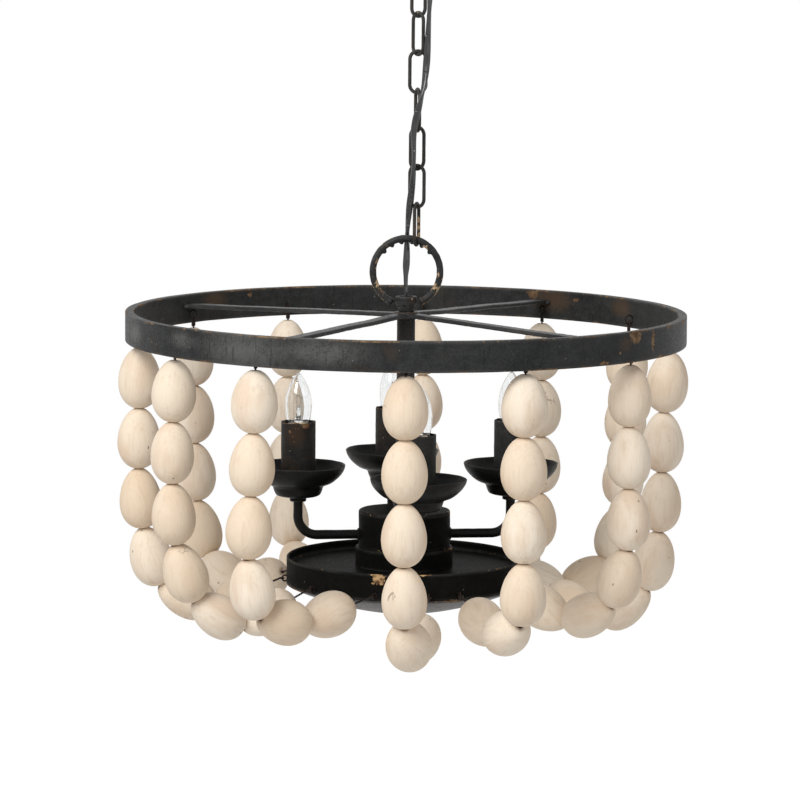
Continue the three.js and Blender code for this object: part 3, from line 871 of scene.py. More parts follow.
def swept(
    path: Sequence[Vector],
    radius: Union[float, Sequence[float]],
    section: Sequence[tuple[float, float]],
    looped: bool = False,
    twist: float = 0.0,
    wear: Optional[Sequence[float]] = None,
    up: Vector = Vector((0.0, 1.0, 0.0)),
) -> Skin:
    """Sweeps a section along a path.

    Args:
        path: The points of its middle line.
        radius: How large the section is, once or at each point.
        section: The section's corners, for a radius of 1.
        looped: Whether the path closes on itself.
        twist: How far the section turns in all, in radians.
        wear: How worn it is at each point.
        up: A direction that the section starts out with.

    Returns:
        The swept skin.
    """
    count = len(path)
    rows = []
    side = None
    for i, point in enumerate(path):
        after = path[(i + 1) % count] if looped else path[min(i + 1, count - 1)]
        before = path[i - 1] if looped else path[max(i - 1, 0)]
        run = (after - before).normalized()
        if side is None:
            side = (up - run * up.dot(run)).normalized()
        else:
            side = (side - run * side.dot(run)).normalized()
        across = run.cross(side)
        size = radius if isinstance(radius, float) else radius[i]
        turn = twist * i / max(count - 1, 1)
        cos, sin = math.cos(turn), math.sin(turn)
        row = []
        for a, b in section:
            row.append(point + side * (size * (a * cos - b * sin)) + across * (size * (a * sin + b * cos)))
        rows.append(row)
    skin = Skin()
    skin.add_rows(rows, list(wear) if wear is not None else [0.0] * count, looped=looped)
    return skin


def oblong(left: float, right: float, foot: float, top: float) -> list[tuple[float, float]]:
    """Returns the four corners of a bar's section or of a tube's wall."""
    return [(left, foot), (right, foot), (right, top), (left, top)]


def lump(centre: Vector, sizes: Sequence[float], sides: int = 12) -> Skin:
    """Returns a closed round lump, such as a weld, a ball or a nub.

    Args:
        centre: Its middle.
        sizes: Its half sizes along the axes.
        sides: How many faces go round.

    Returns:
        The lump.
    """
    rows = []
    for i in range(1, sides // 2 + 1):
        angle = math.pi * i / (sides // 2 + 1)
        wide, rise = math.sin(angle), sizes[2] * math.cos(angle)
        ring = [Vector((a * sizes[0] * wide, b * sizes[1] * wide, rise)) for a, b in round_section(sides)]
        rows.append([centre + step for step in ring])
    skin = Skin()
    skin.add_rows(rows, [0.0] * len(rows))
    return skin


def smooth_path(points: Sequence[Vector], steps: int) -> list[Vector]:
    """Returns a smooth line through points, with some steps between each two.

    Args:
        points: The points that it runs through.
        steps: How many stretches there are from one to the next.

    Returns:
        The points of the line.
    """
    path = []
    last = len(points) - 1
    for i in range(last):
        a, b, c, d = points[max(i - 1, 0)], points[i], points[i + 1], points[min(i + 2, last)]
        for step in range(steps):
            t = step / steps
            square = (2 * a - 5 * b + 4 * c - d) * t ** 2
            cube = (3 * b - a - 3 * c + d) * t ** 3
            path.append(0.5 * (2 * b + (c - a) * t + square + cube))
    path.append(points[-1].copy())
    return path


def polar(radius: float, degrees: float) -> tuple[float, float]:
    """Returns the x and y of an angle, counted from the right towards the back."""
    return radius * math.cos(math.radians(degrees)), radius * math.sin(math.radians(degrees))


def outward(degrees: float) -> Vector:
    """Returns a level step of 1 at an angle, counted from the right towards the back."""
    return Vector((*polar(1.0, degrees), 0.0))


def upward(height: float) -> Vector:
    """Returns an upright step."""
    return Vector((0.0, 0.0, height))


# The object


class Finishes:
    """Every material of the object, made once."""

    def __init__(self) -> None:
        """Builds the shared effects and the materials."""
        effects = Effects()
        axis = (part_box("upper_ring")[0].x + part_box("upper_ring")[1].x) / 2
        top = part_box("upper_ring")[1].z

        def at(x: float, y: float, z: float) -> Colour:
            """Returns a place counted from the frame's axis and the ring's top."""
            return (axis + x, y, top + z)

        band_chips = (
            Patch(at(0.2395, -0.1889, -0.0042), 0.0115, (1.0, 1.0, 0.75)),
            Patch(at(0.259, -0.161, -0.0125), 0.0062, (0.7, 0.7, 1.9)),
            Patch(at(0.2228, -0.2082, -0.0205), 0.0018),
            Patch(at(0.205, -0.226, -0.0296), 0.0045, (1.6, 1.6, 0.5)),
            Patch(at(0.278, -0.1252, -0.001), 0.0042, (1.2, 1.2, 0.8)),
            Patch(at(0.2966, -0.0711, -0.0025), 0.005),
            Patch(at(0.269, -0.144, -0.031), 0.005, (1.4, 1.4, 0.5)),
            Patch(at(-0.2689, -0.144, -0.0202), 0.0012),
            Patch(at(-0.262, -0.156, -0.021), 0.0011),
            Patch(at(0.146, 0.2575, -0.005), 0.0062, (1.6, 1.0, 0.8)),
            Patch(at(0.158, 0.2507, -0.0135), 0.0036, (1.6, 1.0, 0.8)),
            Patch(at(0.194, 0.2229, -0.008), 0.0035, (1.6, 1.6, 0.8)),
            Patch(at(-0.1787, 0.2353, -0.0062), 0.003),
        )
        band_stains = (
            Patch(at(0.168, 0.243, -0.01), 0.034, (1.3, 1.0, 0.6), 0.75),
            Patch(at(0.243, 0.168, -0.011), 0.024, (1.0, 1.3, 0.7), 0.85),
            Patch(at(-0.2174, 0.2001, -0.0095), 0.026, (1.2, 1.0, 0.6), 0.8),
            Patch(at(0.222, -0.195, -0.012), 0.02, (1.0, 1.0, 0.7), 0.8),
        )
        # Painted highlights on the band's front left, where the key light falls.
        band_painted_sheens = (
            Patch(at(-0.17, -0.254, -0.014), 0.06, (1.6, 1.2, 0.55), 1.0),
            Patch(at(-0.085, -0.293, -0.013), 0.045, (1.6, 1.0, 0.5), 1.0),
            Patch(at(-0.235, -0.195, -0.012), 0.03, (1.2, 1.0, 0.5), 1.0),
            Patch(at(-0.288, -0.1, -0.015), 0.03, (1.0, 1.2, 0.6), 1.0),
        )
        self.band = IronFinish(
            "band_iron", light=(0.037, 0.038, 0.0375), tan=(0.2, 0.13, 0.07), brown_share=0.3, rub=0.5,
            shine=0.1, patches=band_chips, stains=band_stains, painted_sheens=band_painted_sheens,
        ).material(effects)
        ring_chips = (
            Patch(at(-0.0316, 0.0, 0.0305), 0.0052, (0.7, 1.0, 1.8)),
            Patch(at(-0.0272, 0.0, 0.0218), 0.004, (1.0, 1.0, 1.3)),
            Patch(at(0.0317, 0.0, 0.0262), 0.0052, (1.0, 1.0, 1.3)),
            Patch(at(0.0241, 0.0, 0.0152), 0.004, (1.2, 1.0, 1.0)),
            Patch(at(0.0077, -0.011, 0.0141), 0.0022),
            Patch(at(-0.0318, -0.002, 0.051), 0.0036, (0.7, 1.0, 2.2)),
            Patch(at(0.0205, -0.002, 0.0705), 0.003, (1.2, 1.0, 1.0)),
            Patch(at(0.0345, -0.002, 0.04), 0.0022, (0.7, 1.0, 2.0)),
            Patch(at(-0.021, -0.002, 0.0725), 0.0022),
        )
        self.ring = IronFinish(
            "ring_iron", patches=ring_chips, tan=(0.46, 0.33, 0.2), brown_share=0.45, rub=0.5,
            speck_share=0.22, dull=0.5,
        ).material(effects)
        pan_chips = (
            Patch(at(-0.0268, -0.1262, -0.2735), 0.0078, (1.0, 1.0, 1.0)),
            Patch(at(-0.0301, -0.1254, -0.2695), 0.0042, (2.2, 1.0, 0.5)),
            Patch(at(0.0213, -0.1272, -0.2695), 0.0042, (3.4, 1.0, 0.3)),
            Patch(at(-0.0502, -0.0231, -0.2495), 0.0036, (1.0, 1.0, 1.3)),
        )
        self.pan = IronFinish(
            "pan_iron", dark=(0.0038, 0.0038, 0.0035), light=(0.0115, 0.0115, 0.0106), tan=(0.56, 0.36, 0.18),
            patches=pan_chips, brown_share=0.2, rub=0.43, shine=0.01,
        ).material(effects)
        self.spoke = IronFinish(
            "spoke_iron", shine=0.15, dark=(0.008, 0.008, 0.008), light=(0.026, 0.0265, 0.027),
            brown_share=0.3, rub=0.4, gloss=0.3, dull=0.48,
        ).material(effects)
        self.lamp = IronFinish(
            "lamp_iron", dark=(0.0038, 0.0039, 0.0038), light=(0.0125, 0.0126, 0.012),
            brown=(0.028, 0.016, 0.009), brown_share=0.3, rub=0.44, speck_share=0.03, gloss=0.3, dull=0.5,
            shine=0.1,
        ).material(effects)
        self.column = IronFinish(
            "column_iron", dark=(0.011, 0.0105, 0.01), light=(0.036, 0.034, 0.032),
            brown=(0.05, 0.027, 0.015), brown_share=0.6, rub=0.42,
        ).material(effects)
        last_link_chips = (
            Patch((0.0023, 0.0085, -0.336), 0.006, (1.0, 1.0, 1.5)),
            Patch((0.0023, 0.0075, -0.35), 0.006, (1.0, 1.0, 1.3)),
        )
        self.chain = IronFinish(
            "chain_wire", dark=(0.012, 0.0115, 0.0105), light=(0.056, 0.053, 0.048),
            brown=(0.09, 0.058, 0.036), tan=(0.5, 0.36, 0.21), patches=last_link_chips,
            brown_share=0.5, rub=0.46, speck_share=0.12,
        ).material(effects)
        self.wire = IronFinish(
            "rusty_wire", dark=(0.009, 0.007, 0.006), light=(0.018, 0.013, 0.01), brown=(0.026, 0.014, 0.01),
            brown_share=0.9, rub=0.22, speck_share=0.0, relief=0.0001,
        ).material(effects)
        self.wood = WoodFinish("egg_wood").material(effects)
        self.hub = IronFinish(
            "hub_iron", brown=(0.06, 0.034, 0.02), brown_share=0.7, rub=0.36
        ).material(effects)
        self.collar = IronFinish(
            "collar_iron", patches=ring_chips[4:5], tan=(0.5, 0.4, 0.27), brown_share=0.4, rub=0.26
        ).material(effects)
        self.dome = IronFinish(
            "dome_iron", dark=(0.03, 0.027, 0.025), light=(0.095, 0.084, 0.077), brown=(0.07, 0.042, 0.03),
            brown_share=0.35, rub=0.5,
        ).material(effects)
        self.sleeve = IronFinish(
            "sleeve_iron", shine=0.08, dark=(0.008, 0.008, 0.008), light=(0.036, 0.036, 0.035),
            brown=(0.055, 0.03, 0.016), brown_share=0.35, rub=0.42,
        ).material(effects)
        low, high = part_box("candle_sleeve_4")
        left, front, rim = (low.x + high.x) / 2, low.y, high.z
        sleeve_chips = (
            Patch((left + 0.0085, front + 0.002, rim - 0.0035), 0.0052, (1.2, 1.0, 0.8)),
            Patch((left - 0.0085, front + 0.003, rim - 0.0105), 0.0017, (1.0, 1.0, 1.5)),
            Patch((left - 0.004, front, rim - 0.021), 0.0012, (1.0, 1.0, 1.5)),
            Patch((left + 0.0005, front, rim - 0.007), 0.0011),
            Patch((left - 0.0055, front + 0.001, rim - 0.0155), 0.001),
        )
        sleeve_stains = (Patch((left - 0.003, front, rim - 0.013), 0.018, (1.1, 1.2, 1.3), 1.0),)
        self.rusty_sleeve = IronFinish(
            "sleeve_iron_rusty", dark=(0.009, 0.0085, 0.008), light=(0.034, 0.032, 0.03),
            brown=(0.06, 0.033, 0.018), tan=(0.26, 0.15, 0.075), stain=(0.05, 0.031, 0.02),
            patches=sleeve_chips, stains=sleeve_stains, brown_share=0.5, rub=0.5, shine=0.08,
            speck_share=0.16,
        ).material(effects)
        self.cord = PlainFinish(
            "black_cord", (0.006, 0.006, 0.0065), (0.02, 0.02, 0.021), 0.24, 0.38, coat=0.3
        ).material(effects)
        self.socket = PlainFinish(
            "holder_cream", (0.62, 0.56, 0.44), (0.45, 0.38, 0.27), 0.42, 0.58
        ).material(effects)
        self.zinc = PlainFinish(
            "zinc_steel", (0.55, 0.55, 0.56), (0.36, 0.35, 0.34), 0.3, 0.5, metallic=1.0
        ).material(effects)
        self.brass = PlainFinish(
            "cap_brass", (0.72, 0.54, 0.27), (0.42, 0.3, 0.15), 0.24, 0.42, metallic=1.0
        ).material(effects)
        self.tungsten = PlainFinish(
            "filament_wire", (0.24, 0.23, 0.22), (0.14, 0.13, 0.12), 0.3, 0.5, metallic=1.0
        ).material(effects)
        self.glass = GlassFinish("lamp_glass").material()


FRAME: dict = {}


def dress(node: str, material: Material) -> None:
    """Gives its material to a solid that is kept as it is.

    Args:
        node: The solid's name.
        material: Its material.
    """
    solid = FRAME["nodes"][node]
    solid.data.materials.clear()
    solid.data.materials.append(material)
    LOG.info("kept %s", node)


def settle(skin: Skin, name: str, material: Material, body: str, slot: Slot, *nodes: str) -> bpy.types.Object:
    """Turns a skin into a finished piece that rides on a body.

    Args:
        skin: The piece's surface, in its place.
        name: The piece's name.
        material: Its material.
        body: The body that it moves with.
        slot: The record's slot that its finish belongs to; not used.
        nodes: The solids that it stands for.

    Returns:
        The piece.
    """
    piece = skin.to_object(name)
    piece.data.materials.append(material)
    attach(piece, body)
    if nodes:
        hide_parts(*nodes)
    LOG.info("built %s", name)
    return piece


@dataclass
class Layout:
    """Where the solids' main levels and axis are."""

    axis: Vector
    band_top: float
    pan_rim: float
    pan_foot: float
    drum_top: float

    @classmethod
    def from_solids(cls) -> Layout:
        """Reads the levels from the solids' boxes.

        Returns:
            The levels.
        """
        low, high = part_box("centre_pipe")
        pan_low, pan_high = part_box("lower_pan")
        return cls(
            axis=Vector(((low.x + high.x) / 2, (low.y + high.y) / 2, 0.0)),
            band_top=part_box("upper_ring")[1].z,
            pan_rim=pan_high.z,
            pan_foot=pan_low.z,
            drum_top=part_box("drum_cover")[1].z,
        )


@dataclass
class Assembly:
    """A part of the object, built to the solids' levels and in the shared finishes."""

    layout: Layout
    finishes: Finishes

    def iron(self, skin: Skin, name: str, material: Material, *nodes: str) -> None:
        """Settles a dark iron piece of the frame."""
        settle(skin, name, material, Body.FRAME, Slot.DARK_IRON, *nodes)


@dataclass
class UpperRing(Assembly):
    """The flat bar ring with its wire eyes, and the four spokes that carry it."""

    outer: float = 0.305
    thick: float = 0.0095
    height: float = 0.0324
    edge: float = 0.0011
    sides: int = 300
    eye_radius: float = 0.005
    eye_wire: float = 0.0018
    eye_sink: float = 0.001
    eye_rise: float = 0.01
    spoke_angles: tuple[float, ...] = (58, 146, 239, 317)
    spoke_width: float = 0.015
    spoke_thick: float = 0.0045
    spoke_hub_depth: float = 0.0042
    spoke_fall: float = 0.0083
    hub_radius: float = 0.0133

    def eye(self, degrees: float) -> Vector:
        """Returns the middle of the eye at an angle from the front.

        Args:
            degrees: How far round it is.

        Returns:
            Its middle.
        """
        reach = self.outer - self.thick - self.eye_radius - self.eye_wire / 2 + self.eye_sink
        x, y = polar(reach, degrees - 90)
        return self.layout.axis + Vector((x, y, self.layout.band_top - self.height + self.eye_rise))

    def build(self, eye_angles: Sequence[float]) -> None:
        """Builds the band, its eyes and its spokes.

        Args:
            eye_angles: Where the strands hang.
        """
        inner, foot = self.outer - self.thick, self.layout.band_top - self.height
        wall = oblong(inner, self.outer, foot, self.layout.band_top)
        band = turned(rounded(wall, self.edge, spacing=0.005), self.sides, self.layout.axis)
        middle = (foot + self.layout.band_top) / 2
        for i, point in enumerate(band.points):
            away = Vector((point.x - self.layout.axis.x, point.y, 0.0))
            dent = noise.noise(point / 0.045) * 0.0004 + noise.noise(point / 0.013) * 0.00018 - 0.0001
            dent = min(0.0, dent)
            lift = noise.noise(point / 0.03 + Vector((5.0, 0.0, 0.0))) * 0.0003
            lift = min(0.0, lift) if point.z > middle else max(0.0, lift)
            side = 1.0 if away.length > self.outer - self.thick / 2 else -1.0
            point = point + away.normalized() * (dent * side)
            band.points[i] = point + upward(lift)
        self.iron(band, "upper_ring_band", self.finishes.band, "upper_ring")
        eyes = Skin()
        for degrees in eye_angles:
            eyes.add(wire_ring(self.eye(degrees), degrees - 90, self.eye_radius, self.eye_wire / 2))
        self.iron(eyes, "upper_ring_eyes", self.finishes.wire)
        for number, degrees in enumerate(self.spoke_angles):
            self._spoke(number, degrees)

    def _spoke(self, number: int, degrees: float) -> None:
        """Builds one spoke, with its welds at the hub and at the band.

        Args:
            number: Which spoke it is.
            degrees: Where it points.
        """
        start, end = self.hub_radius - 0.001, self.outer - self.thick
        path, steps = [], 46
        out = outward(degrees)
        sideways = Vector((-out.y, out.x, 0.0))
        for i in range(steps + 1):
            t = i / steps
            away = start + (end - start) * t
            wave = noise.noise(Vector((away / 0.05, number * 9.0, 0.0))) * 0.0006
            height = self.layout.band_top - self.spoke_hub_depth - self.spoke_fall * t + wave
            path.append(self.layout.axis + out * away + sideways * wave + upward(height))
        half, thin = self.spoke_width / 2, self.spoke_thick / 2
        section = [(x, y) for x, y, _ in rounded(oblong(-half, half, -thin, thin), 0.0009)]
        bar = swept(path, 1.0, section, up=sideways)
        for side in (-1, 1):
            for k in range(3):
                near = path[-1] - out * (0.0015 + 0.0012 * k) + sideways * side * (half - 0.001 * k)
                bar.add(lump(near + upward(-thin * 0.4), (0.0032 - 0.0006 * k, 0.0032 - 0.0006 * k, 0.0026)))
            bar.add(lump(path[0] + sideways * side * half * 0.7, (0.003, 0.003, 0.0026)))
        fused = bar.fused(0.0009, 1).dented(0.0002, 0.006, number)
        middle = (path[0] + path[-1]) / 2
        reach = (path[-1] - path[0]).length / 2

        def rule(point: Vector) -> float:
            """Returns how worn the spoke is: most at its tip and its two rims.

            Args:
                point: A point of the spoke.

            Returns:
                The wear, not yet kept from 0 to 1.
            """
            along = abs((point - middle).dot(out)) / reach
            rim = abs((point - middle).dot(sideways)) / half
            return max((along - 0.93) * 12.0, (rim - 0.86) * 6.0)

        self.iron(fused.worn(rule), f"spoke_bar_{number + 1}", self.finishes.spoke, f"spoke_{number + 1}")


def wire_ring(centre: Vector, yaw: float, radius: float, wire: float, steps: int = 20) -> Skin:
    """Returns an upright ring of wire.

    Args:
        centre: Its middle.
        yaw: Which way its flat runs, in degrees.
        radius: The radius of the wire's middle line.
        wire: The wire's own radius.
        steps: How many stretches it has.

    Returns:
        The ring.
    """
    out = outward(yaw)
    path = [centre + out * (radius * a) + upward(radius * b) for a, b in round_section(steps)]
    return swept(path, wire, round_section(8), looped=True, up=Vector((-out.y, out.x, 0.0)))


@dataclass(frozen=True)
class StrandShape:
    """How one strand hangs: where its eyes are on the ring and on the pan, and its first eggs' tilts."""

    ring: float
    pan: float
    tilts: tuple[float, ...]
    girth: float = 1.0


@dataclass
class Strands(Assembly):
    """Twelve strands of six wooden eggs, threaded on wire from an eye of the ring to one of the pan."""

    ring: UpperRing
    shapes: tuple[StrandShape, ...] = (
        StrandShape(0, 12, (-2, -1.5, 0.5, 9, 47), 1.027),
        StrandShape(25, 27, (2, -1, -2.5, 2, 70), 1.034),
        StrandShape(54.2, 60, (1, -1, 0, 18, 67), 1.0),
        StrandShape(80.5, 94, (7, 0, 2, 10, 54), 0.975),
        StrandShape(120.5, 125, (2, 0, 3, 12, 62)),
        StrandShape(147.5, 155, (1, -2, 2, 8, 58)),
        StrandShape(176, 185, (0, 1, 2, 12, 64)),
        StrandShape(207.8, 215, (-1, 0, 1, 10, 60)),
        StrandShape(235.5, 245, (0, 1, 4, 12, 66)),
        StrandShape(279, 275, (0, -1, 4, 16, 66)),
        StrandShape(303.5, 311, (-2, -1, 3.5, 20, 57)),
        StrandShape(327.8, 346, (-2, -3, -4, 12, 78), 1.033),
    )
    pan_radius: float = 0.129
    pan_eye_radius: float = 0.0032
    pan_eye_sink: float = 0.0014
    pan_eye_rise: float = 0.005
    eggs: int = 6
    egg_length: float = 0.0652
    egg_radius: float = 0.0238
    spacing: float = 0.0003
    end_share: float = 0.975
    knee_ends: float = 0.02496
    knee_depth: float = 0.011736
    knee_gap: float = 0.0008
    wire: float = 0.0016
    loop_radius: float = 0.0026
    upper_stem: float = 0.0068
    knot_height: float = 0.0048
    knot_radius: float = 0.0016
    gap: float = 0.0003
    hole: float = 0.0015
    hole_depth: float = 0.0035
    wire_end: float = 0.003
    twist_length: float = 0.0042
    sides: int = 40
    rows: int = 30

    def eyes(self, shape: StrandShape) -> tuple[Vector, Vector, Vector]:
        """Returns the middles of a strand's two eyes and the way in from one to the other.

        Args:
            shape: How the strand hangs.

        Returns:
            The upper eye, the lower eye and the way in.
        """
        upper = self.ring.eye(shape.ring)
        x, y = polar(self.pan_radius + self.pan_eye_sink, shape.pan - 90)
        lower = self.layout.axis + Vector((x, y, self.layout.pan_foot + self.pan_eye_rise))
        return upper, lower, Vector((lower.x - upper.x, lower.y - upper.y, 0.0)).normalized()

    def build(self) -> None:
        """Builds each strand's eggs and wires."""
        for number, shape in enumerate(self.shapes):
            luck = random.Random(100 + number)
            upper, lower, inward = self.eyes(shape)
            step = (self.ring.eye_wire + self.wire) / 2 + self.gap
            start = upper + upward(step - self.ring.eye_radius)
            end = lower - inward * (self.pan_eye_radius - step)
            spans = self._spans(shape, start, end, inward)
            eggs = Skin()
            for top, bottom in spans:
                eggs.add(self._egg(top, bottom, luck, shape.girth))
            name = f"egg_strand_{number + 1:02d}"
            body = f"strand_{number + 1:02d}"
            settle(eggs, name + "_eggs", self.finishes.wood, body, Slot.WOOD, name)
            wires = self._wires(start, end, inward, spans)
            settle(wires, name + "_wire", self.finishes.wire, body, Slot.DARK_IRON)

    def _spans(
        self, shape: StrandShape, start: Vector, end: Vector, inward: Vector
    ) -> list[tuple[Vector, Vector]]:
        """Works out where each egg of a strand starts and ends.

        Args:
            shape: How the strand hangs.
            start: Where its upper hook hangs.
            end: Where its lower hook is held.
            inward: The way towards the pan.

        Returns:
            The top and the foot of each egg.
        """
        foot = start - upward(2 * self.loop_radius)
        aim = end - inward * 2 * self.loop_radius
        before, spans = 0.0, []
        for i in range(self.eggs):
            toward = aim - foot
            tilt = math.atan2(toward.dot(inward), -toward.z)
            if i < len(shape.tilts):
                tilt = math.radians(shape.tilts[i])
            ends = self.knee_ends * math.tan(abs(tilt - before) / 2) - self.knee_depth + self.knee_gap
            way = inward * math.sin(tilt) - upward(math.cos(tilt))
            top = foot + way * (max(self.spacing, ends) if spans else self.upper_stem)
            foot = top + way * self.egg_length
            spans.append((top, foot))
            before = tilt
        return spans

    def _egg(self, top: Vector, bottom: Vector, luck: random.Random, girth: float) -> Skin:
        """Builds one egg, narrow end up, with a hole at each end.

        Args:
            top: The knot above it.
            bottom: The knot below it.
            luck: The strand's own chance.
            girth: How thick it is beside the others.

        Returns:
            The egg, with its grain coordinates, tint, end stain with painted contact shade, and painted shade
            in each hole.
        """
        run = (bottom - top).normalized()
        length = self.egg_length
        radius = self.egg_radius * girth * luck.uniform(0.965, 1.0)
        fullness = luck.uniform(0.1, 0.17)
        outline = []
        for i in range(self.rows + 1):
            u = math.cos(math.pi * i / self.rows)
            wide = radius * math.sqrt(1 - (self.end_share * u) ** 2)
            wide = wide * math.exp(-fullness * u) / (1 + fullness ** 2 / 2)
            outline.append((wide - 0.0004 if abs(u) > 0.999 else wide, (1 + u) / 2 * length, 0.0))
        hole, depth = self.hole, self.hole_depth
        # The third value of each point in a hole is how much painted shade its wall gets.
        starts = [(hole * 1.15, 0.0002, 0.2), (hole, 0.0007, 0.9), (hole * 0.95, depth, 1.0)]
        ends = [(wide, length - up, dark) for wide, up, dark in reversed(starts)]
        outline = ends + outline + starts
        across = run.cross(Vector((0.31, 0.87, 0.2))).normalized()
        other = run.cross(across)
        spin = luck.uniform(0.0, math.tau)
        heart = Vector((luck.uniform(0.02, 0.05), luck.uniform(0.0, 0.03), luck.uniform(0.0, 4.0)))
        tint = luck.random() ** 1.6
        seed = Vector((luck.random() * 50, luck.random() * 50, 0.0))
        rows, grain, end_stain_and_shade_values, hole_shade = [], [], [], []
        for wide, up, hole in outline:
            row = []
            for j in range(self.sides):
                angle = math.tau * j / self.sides
                a, b = wide * math.cos(angle), wide * math.sin(angle)
                rough = noise.noise(Vector((a, b, up)) / 0.03 + seed)
                uneven = 1.0 - 0.006 * (1.0 + rough) if hole == 0.0 else 1.0
                row.append(bottom - run * up + across * (a * uneven) + other * (b * uneven))
                turned_a = a * math.cos(spin) - b * math.sin(spin)
                turned_b = a * math.sin(spin) + b * math.cos(spin)
                grain.append(Vector((turned_a + heart.x, turned_b + heart.y, up + heart.z)))
                # Share for the end stain and the painted shade where the eggs meet, strongest at each end.
                near = min(up, length - up)
                end_stain_and_shade_values.append(max(0.0, 1.0 - (near + wide * 0.25) / 0.0045))
                hole_shade.append(hole)
            rows.append(row)
        skin = Skin()
        skin.add_rows(rows, [0.0] * len(rows))
        skin.extra = {"grain": grain, "ends": end_stain_and_shade_values, "hole": hole_shade, "tint": [tint] * len(grain)}
        return skin

    def _wires(self, start: Vector, end: Vector, inward: Vector, spans: list[tuple[Vector, Vector]]) -> Skin:
        """Builds a strand's hooks, its wraps and the wire that shows between eggs.

        Args:
            start: Where the upper hook hangs.
            end: Where the lower hook is held.
            inward: The way towards the pan.
            spans: The top and the foot of each egg.

        Returns:
            All the strand's wire.
        """
        half = self.wire / 2
        side = Vector((-inward.y, inward.x, 0.0))
        top = start - upward(self.loop_radius)
        wires = wire_ring(top, math.degrees(math.atan2(side.y, side.x)), self.loop_radius, half)
        loop = end - inward * self.loop_radius
        reach = self.loop_radius
        flat = [loop + inward * (reach * a) + side * (reach * b) for a, b in round_section(20)]
        wires.add(swept(flat, half, round_section(8), looped=True, up=upward(1.0)))
        wires.add(self._twisted(top - upward(self.loop_radius - half), spans[0][0] - upward(self.wire_end)))
        knot = top - upward(self.loop_radius + self.knot_height / 2)
        wires.add(self._wrap(knot, upward(-1.0), side, self.knot_height, self.knot_radius, 5))
        last = spans[-1][1]
        aim = end - inward * (2 * self.loop_radius - half)
        wires.add(self._twisted(aim, last - (aim - last).normalized() * self.wire_end))
        for (head, foot), (top, bottom) in zip(spans, spans[1:]):
            before, after = (foot - head).normalized(), (bottom - top).normalized()
            path = [foot - before * self.wire_end, foot, top, top + after * self.wire_end]
            wires.add(swept(smooth_path(path, 5), half * 0.9, round_section(8), up=side))
            if (top - foot).length > 2 * self.wire:
                run = (before + after).normalized()
                wires.add(self._wrap((foot + top) / 2, run, side, self.wire, 0.0013, 3))
        return wires

    def _twisted(self, start: Vector, end: Vector) -> Skin:
        """Returns two wires twisted round each other.

        Args:
            start: Where they start.
            end: Where they end.

        Returns:
            The two wires.
        """
        run = end - start
        length = run.length
        run.normalize()
        side = run.cross(Vector((0.31, 0.87, 0.2))).normalized()
        other = run.cross(side)
        twisted = Skin()
        steps = max(12, int(length / 0.0005))
        near = self.wire * 0.42
        for phase in (0.0, math.pi):
            path = []
            for i in range(steps + 1):
                angle = phase + math.tau * (length / self.twist_length) * i / steps
                point = start + run * (length * i / steps)
                path.append(point + side * (near * math.cos(angle)) + other * (near * math.sin(angle)))
            twisted.add(swept(path, self.wire * 0.36, round_section(7), up=side))
        return twisted

    def _wrap(
        self, knot: Vector, run: Vector, side: Vector, height: float, radius: float, turns: int
    ) -> Skin:
        """Returns a few turns of wire round a knot.

        Args:
            knot: The middle of the knot.
            run: The way that it runs.
            side: Where the first turn starts.
            height: How long the knot is.
            radius: The turns' radius.
            turns: How many there are.

        Returns:
            The turns.
        """
        other = run.cross(side).normalized()
        path, steps = [], 12 * turns
        for i in range(steps + 1):
            angle = math.tau * turns * i / steps
            near = radius * (1.0 + 0.16 * math.sin(5.3 * i / turns))
            level = knot + run * (height * (i / steps - 0.5))
            path.append(level + side * (near * math.cos(angle)) + other * (near * math.sin(angle)))
        return swept(path, max(0.00045, self.wire * 0.4), round_section(6), up=run)


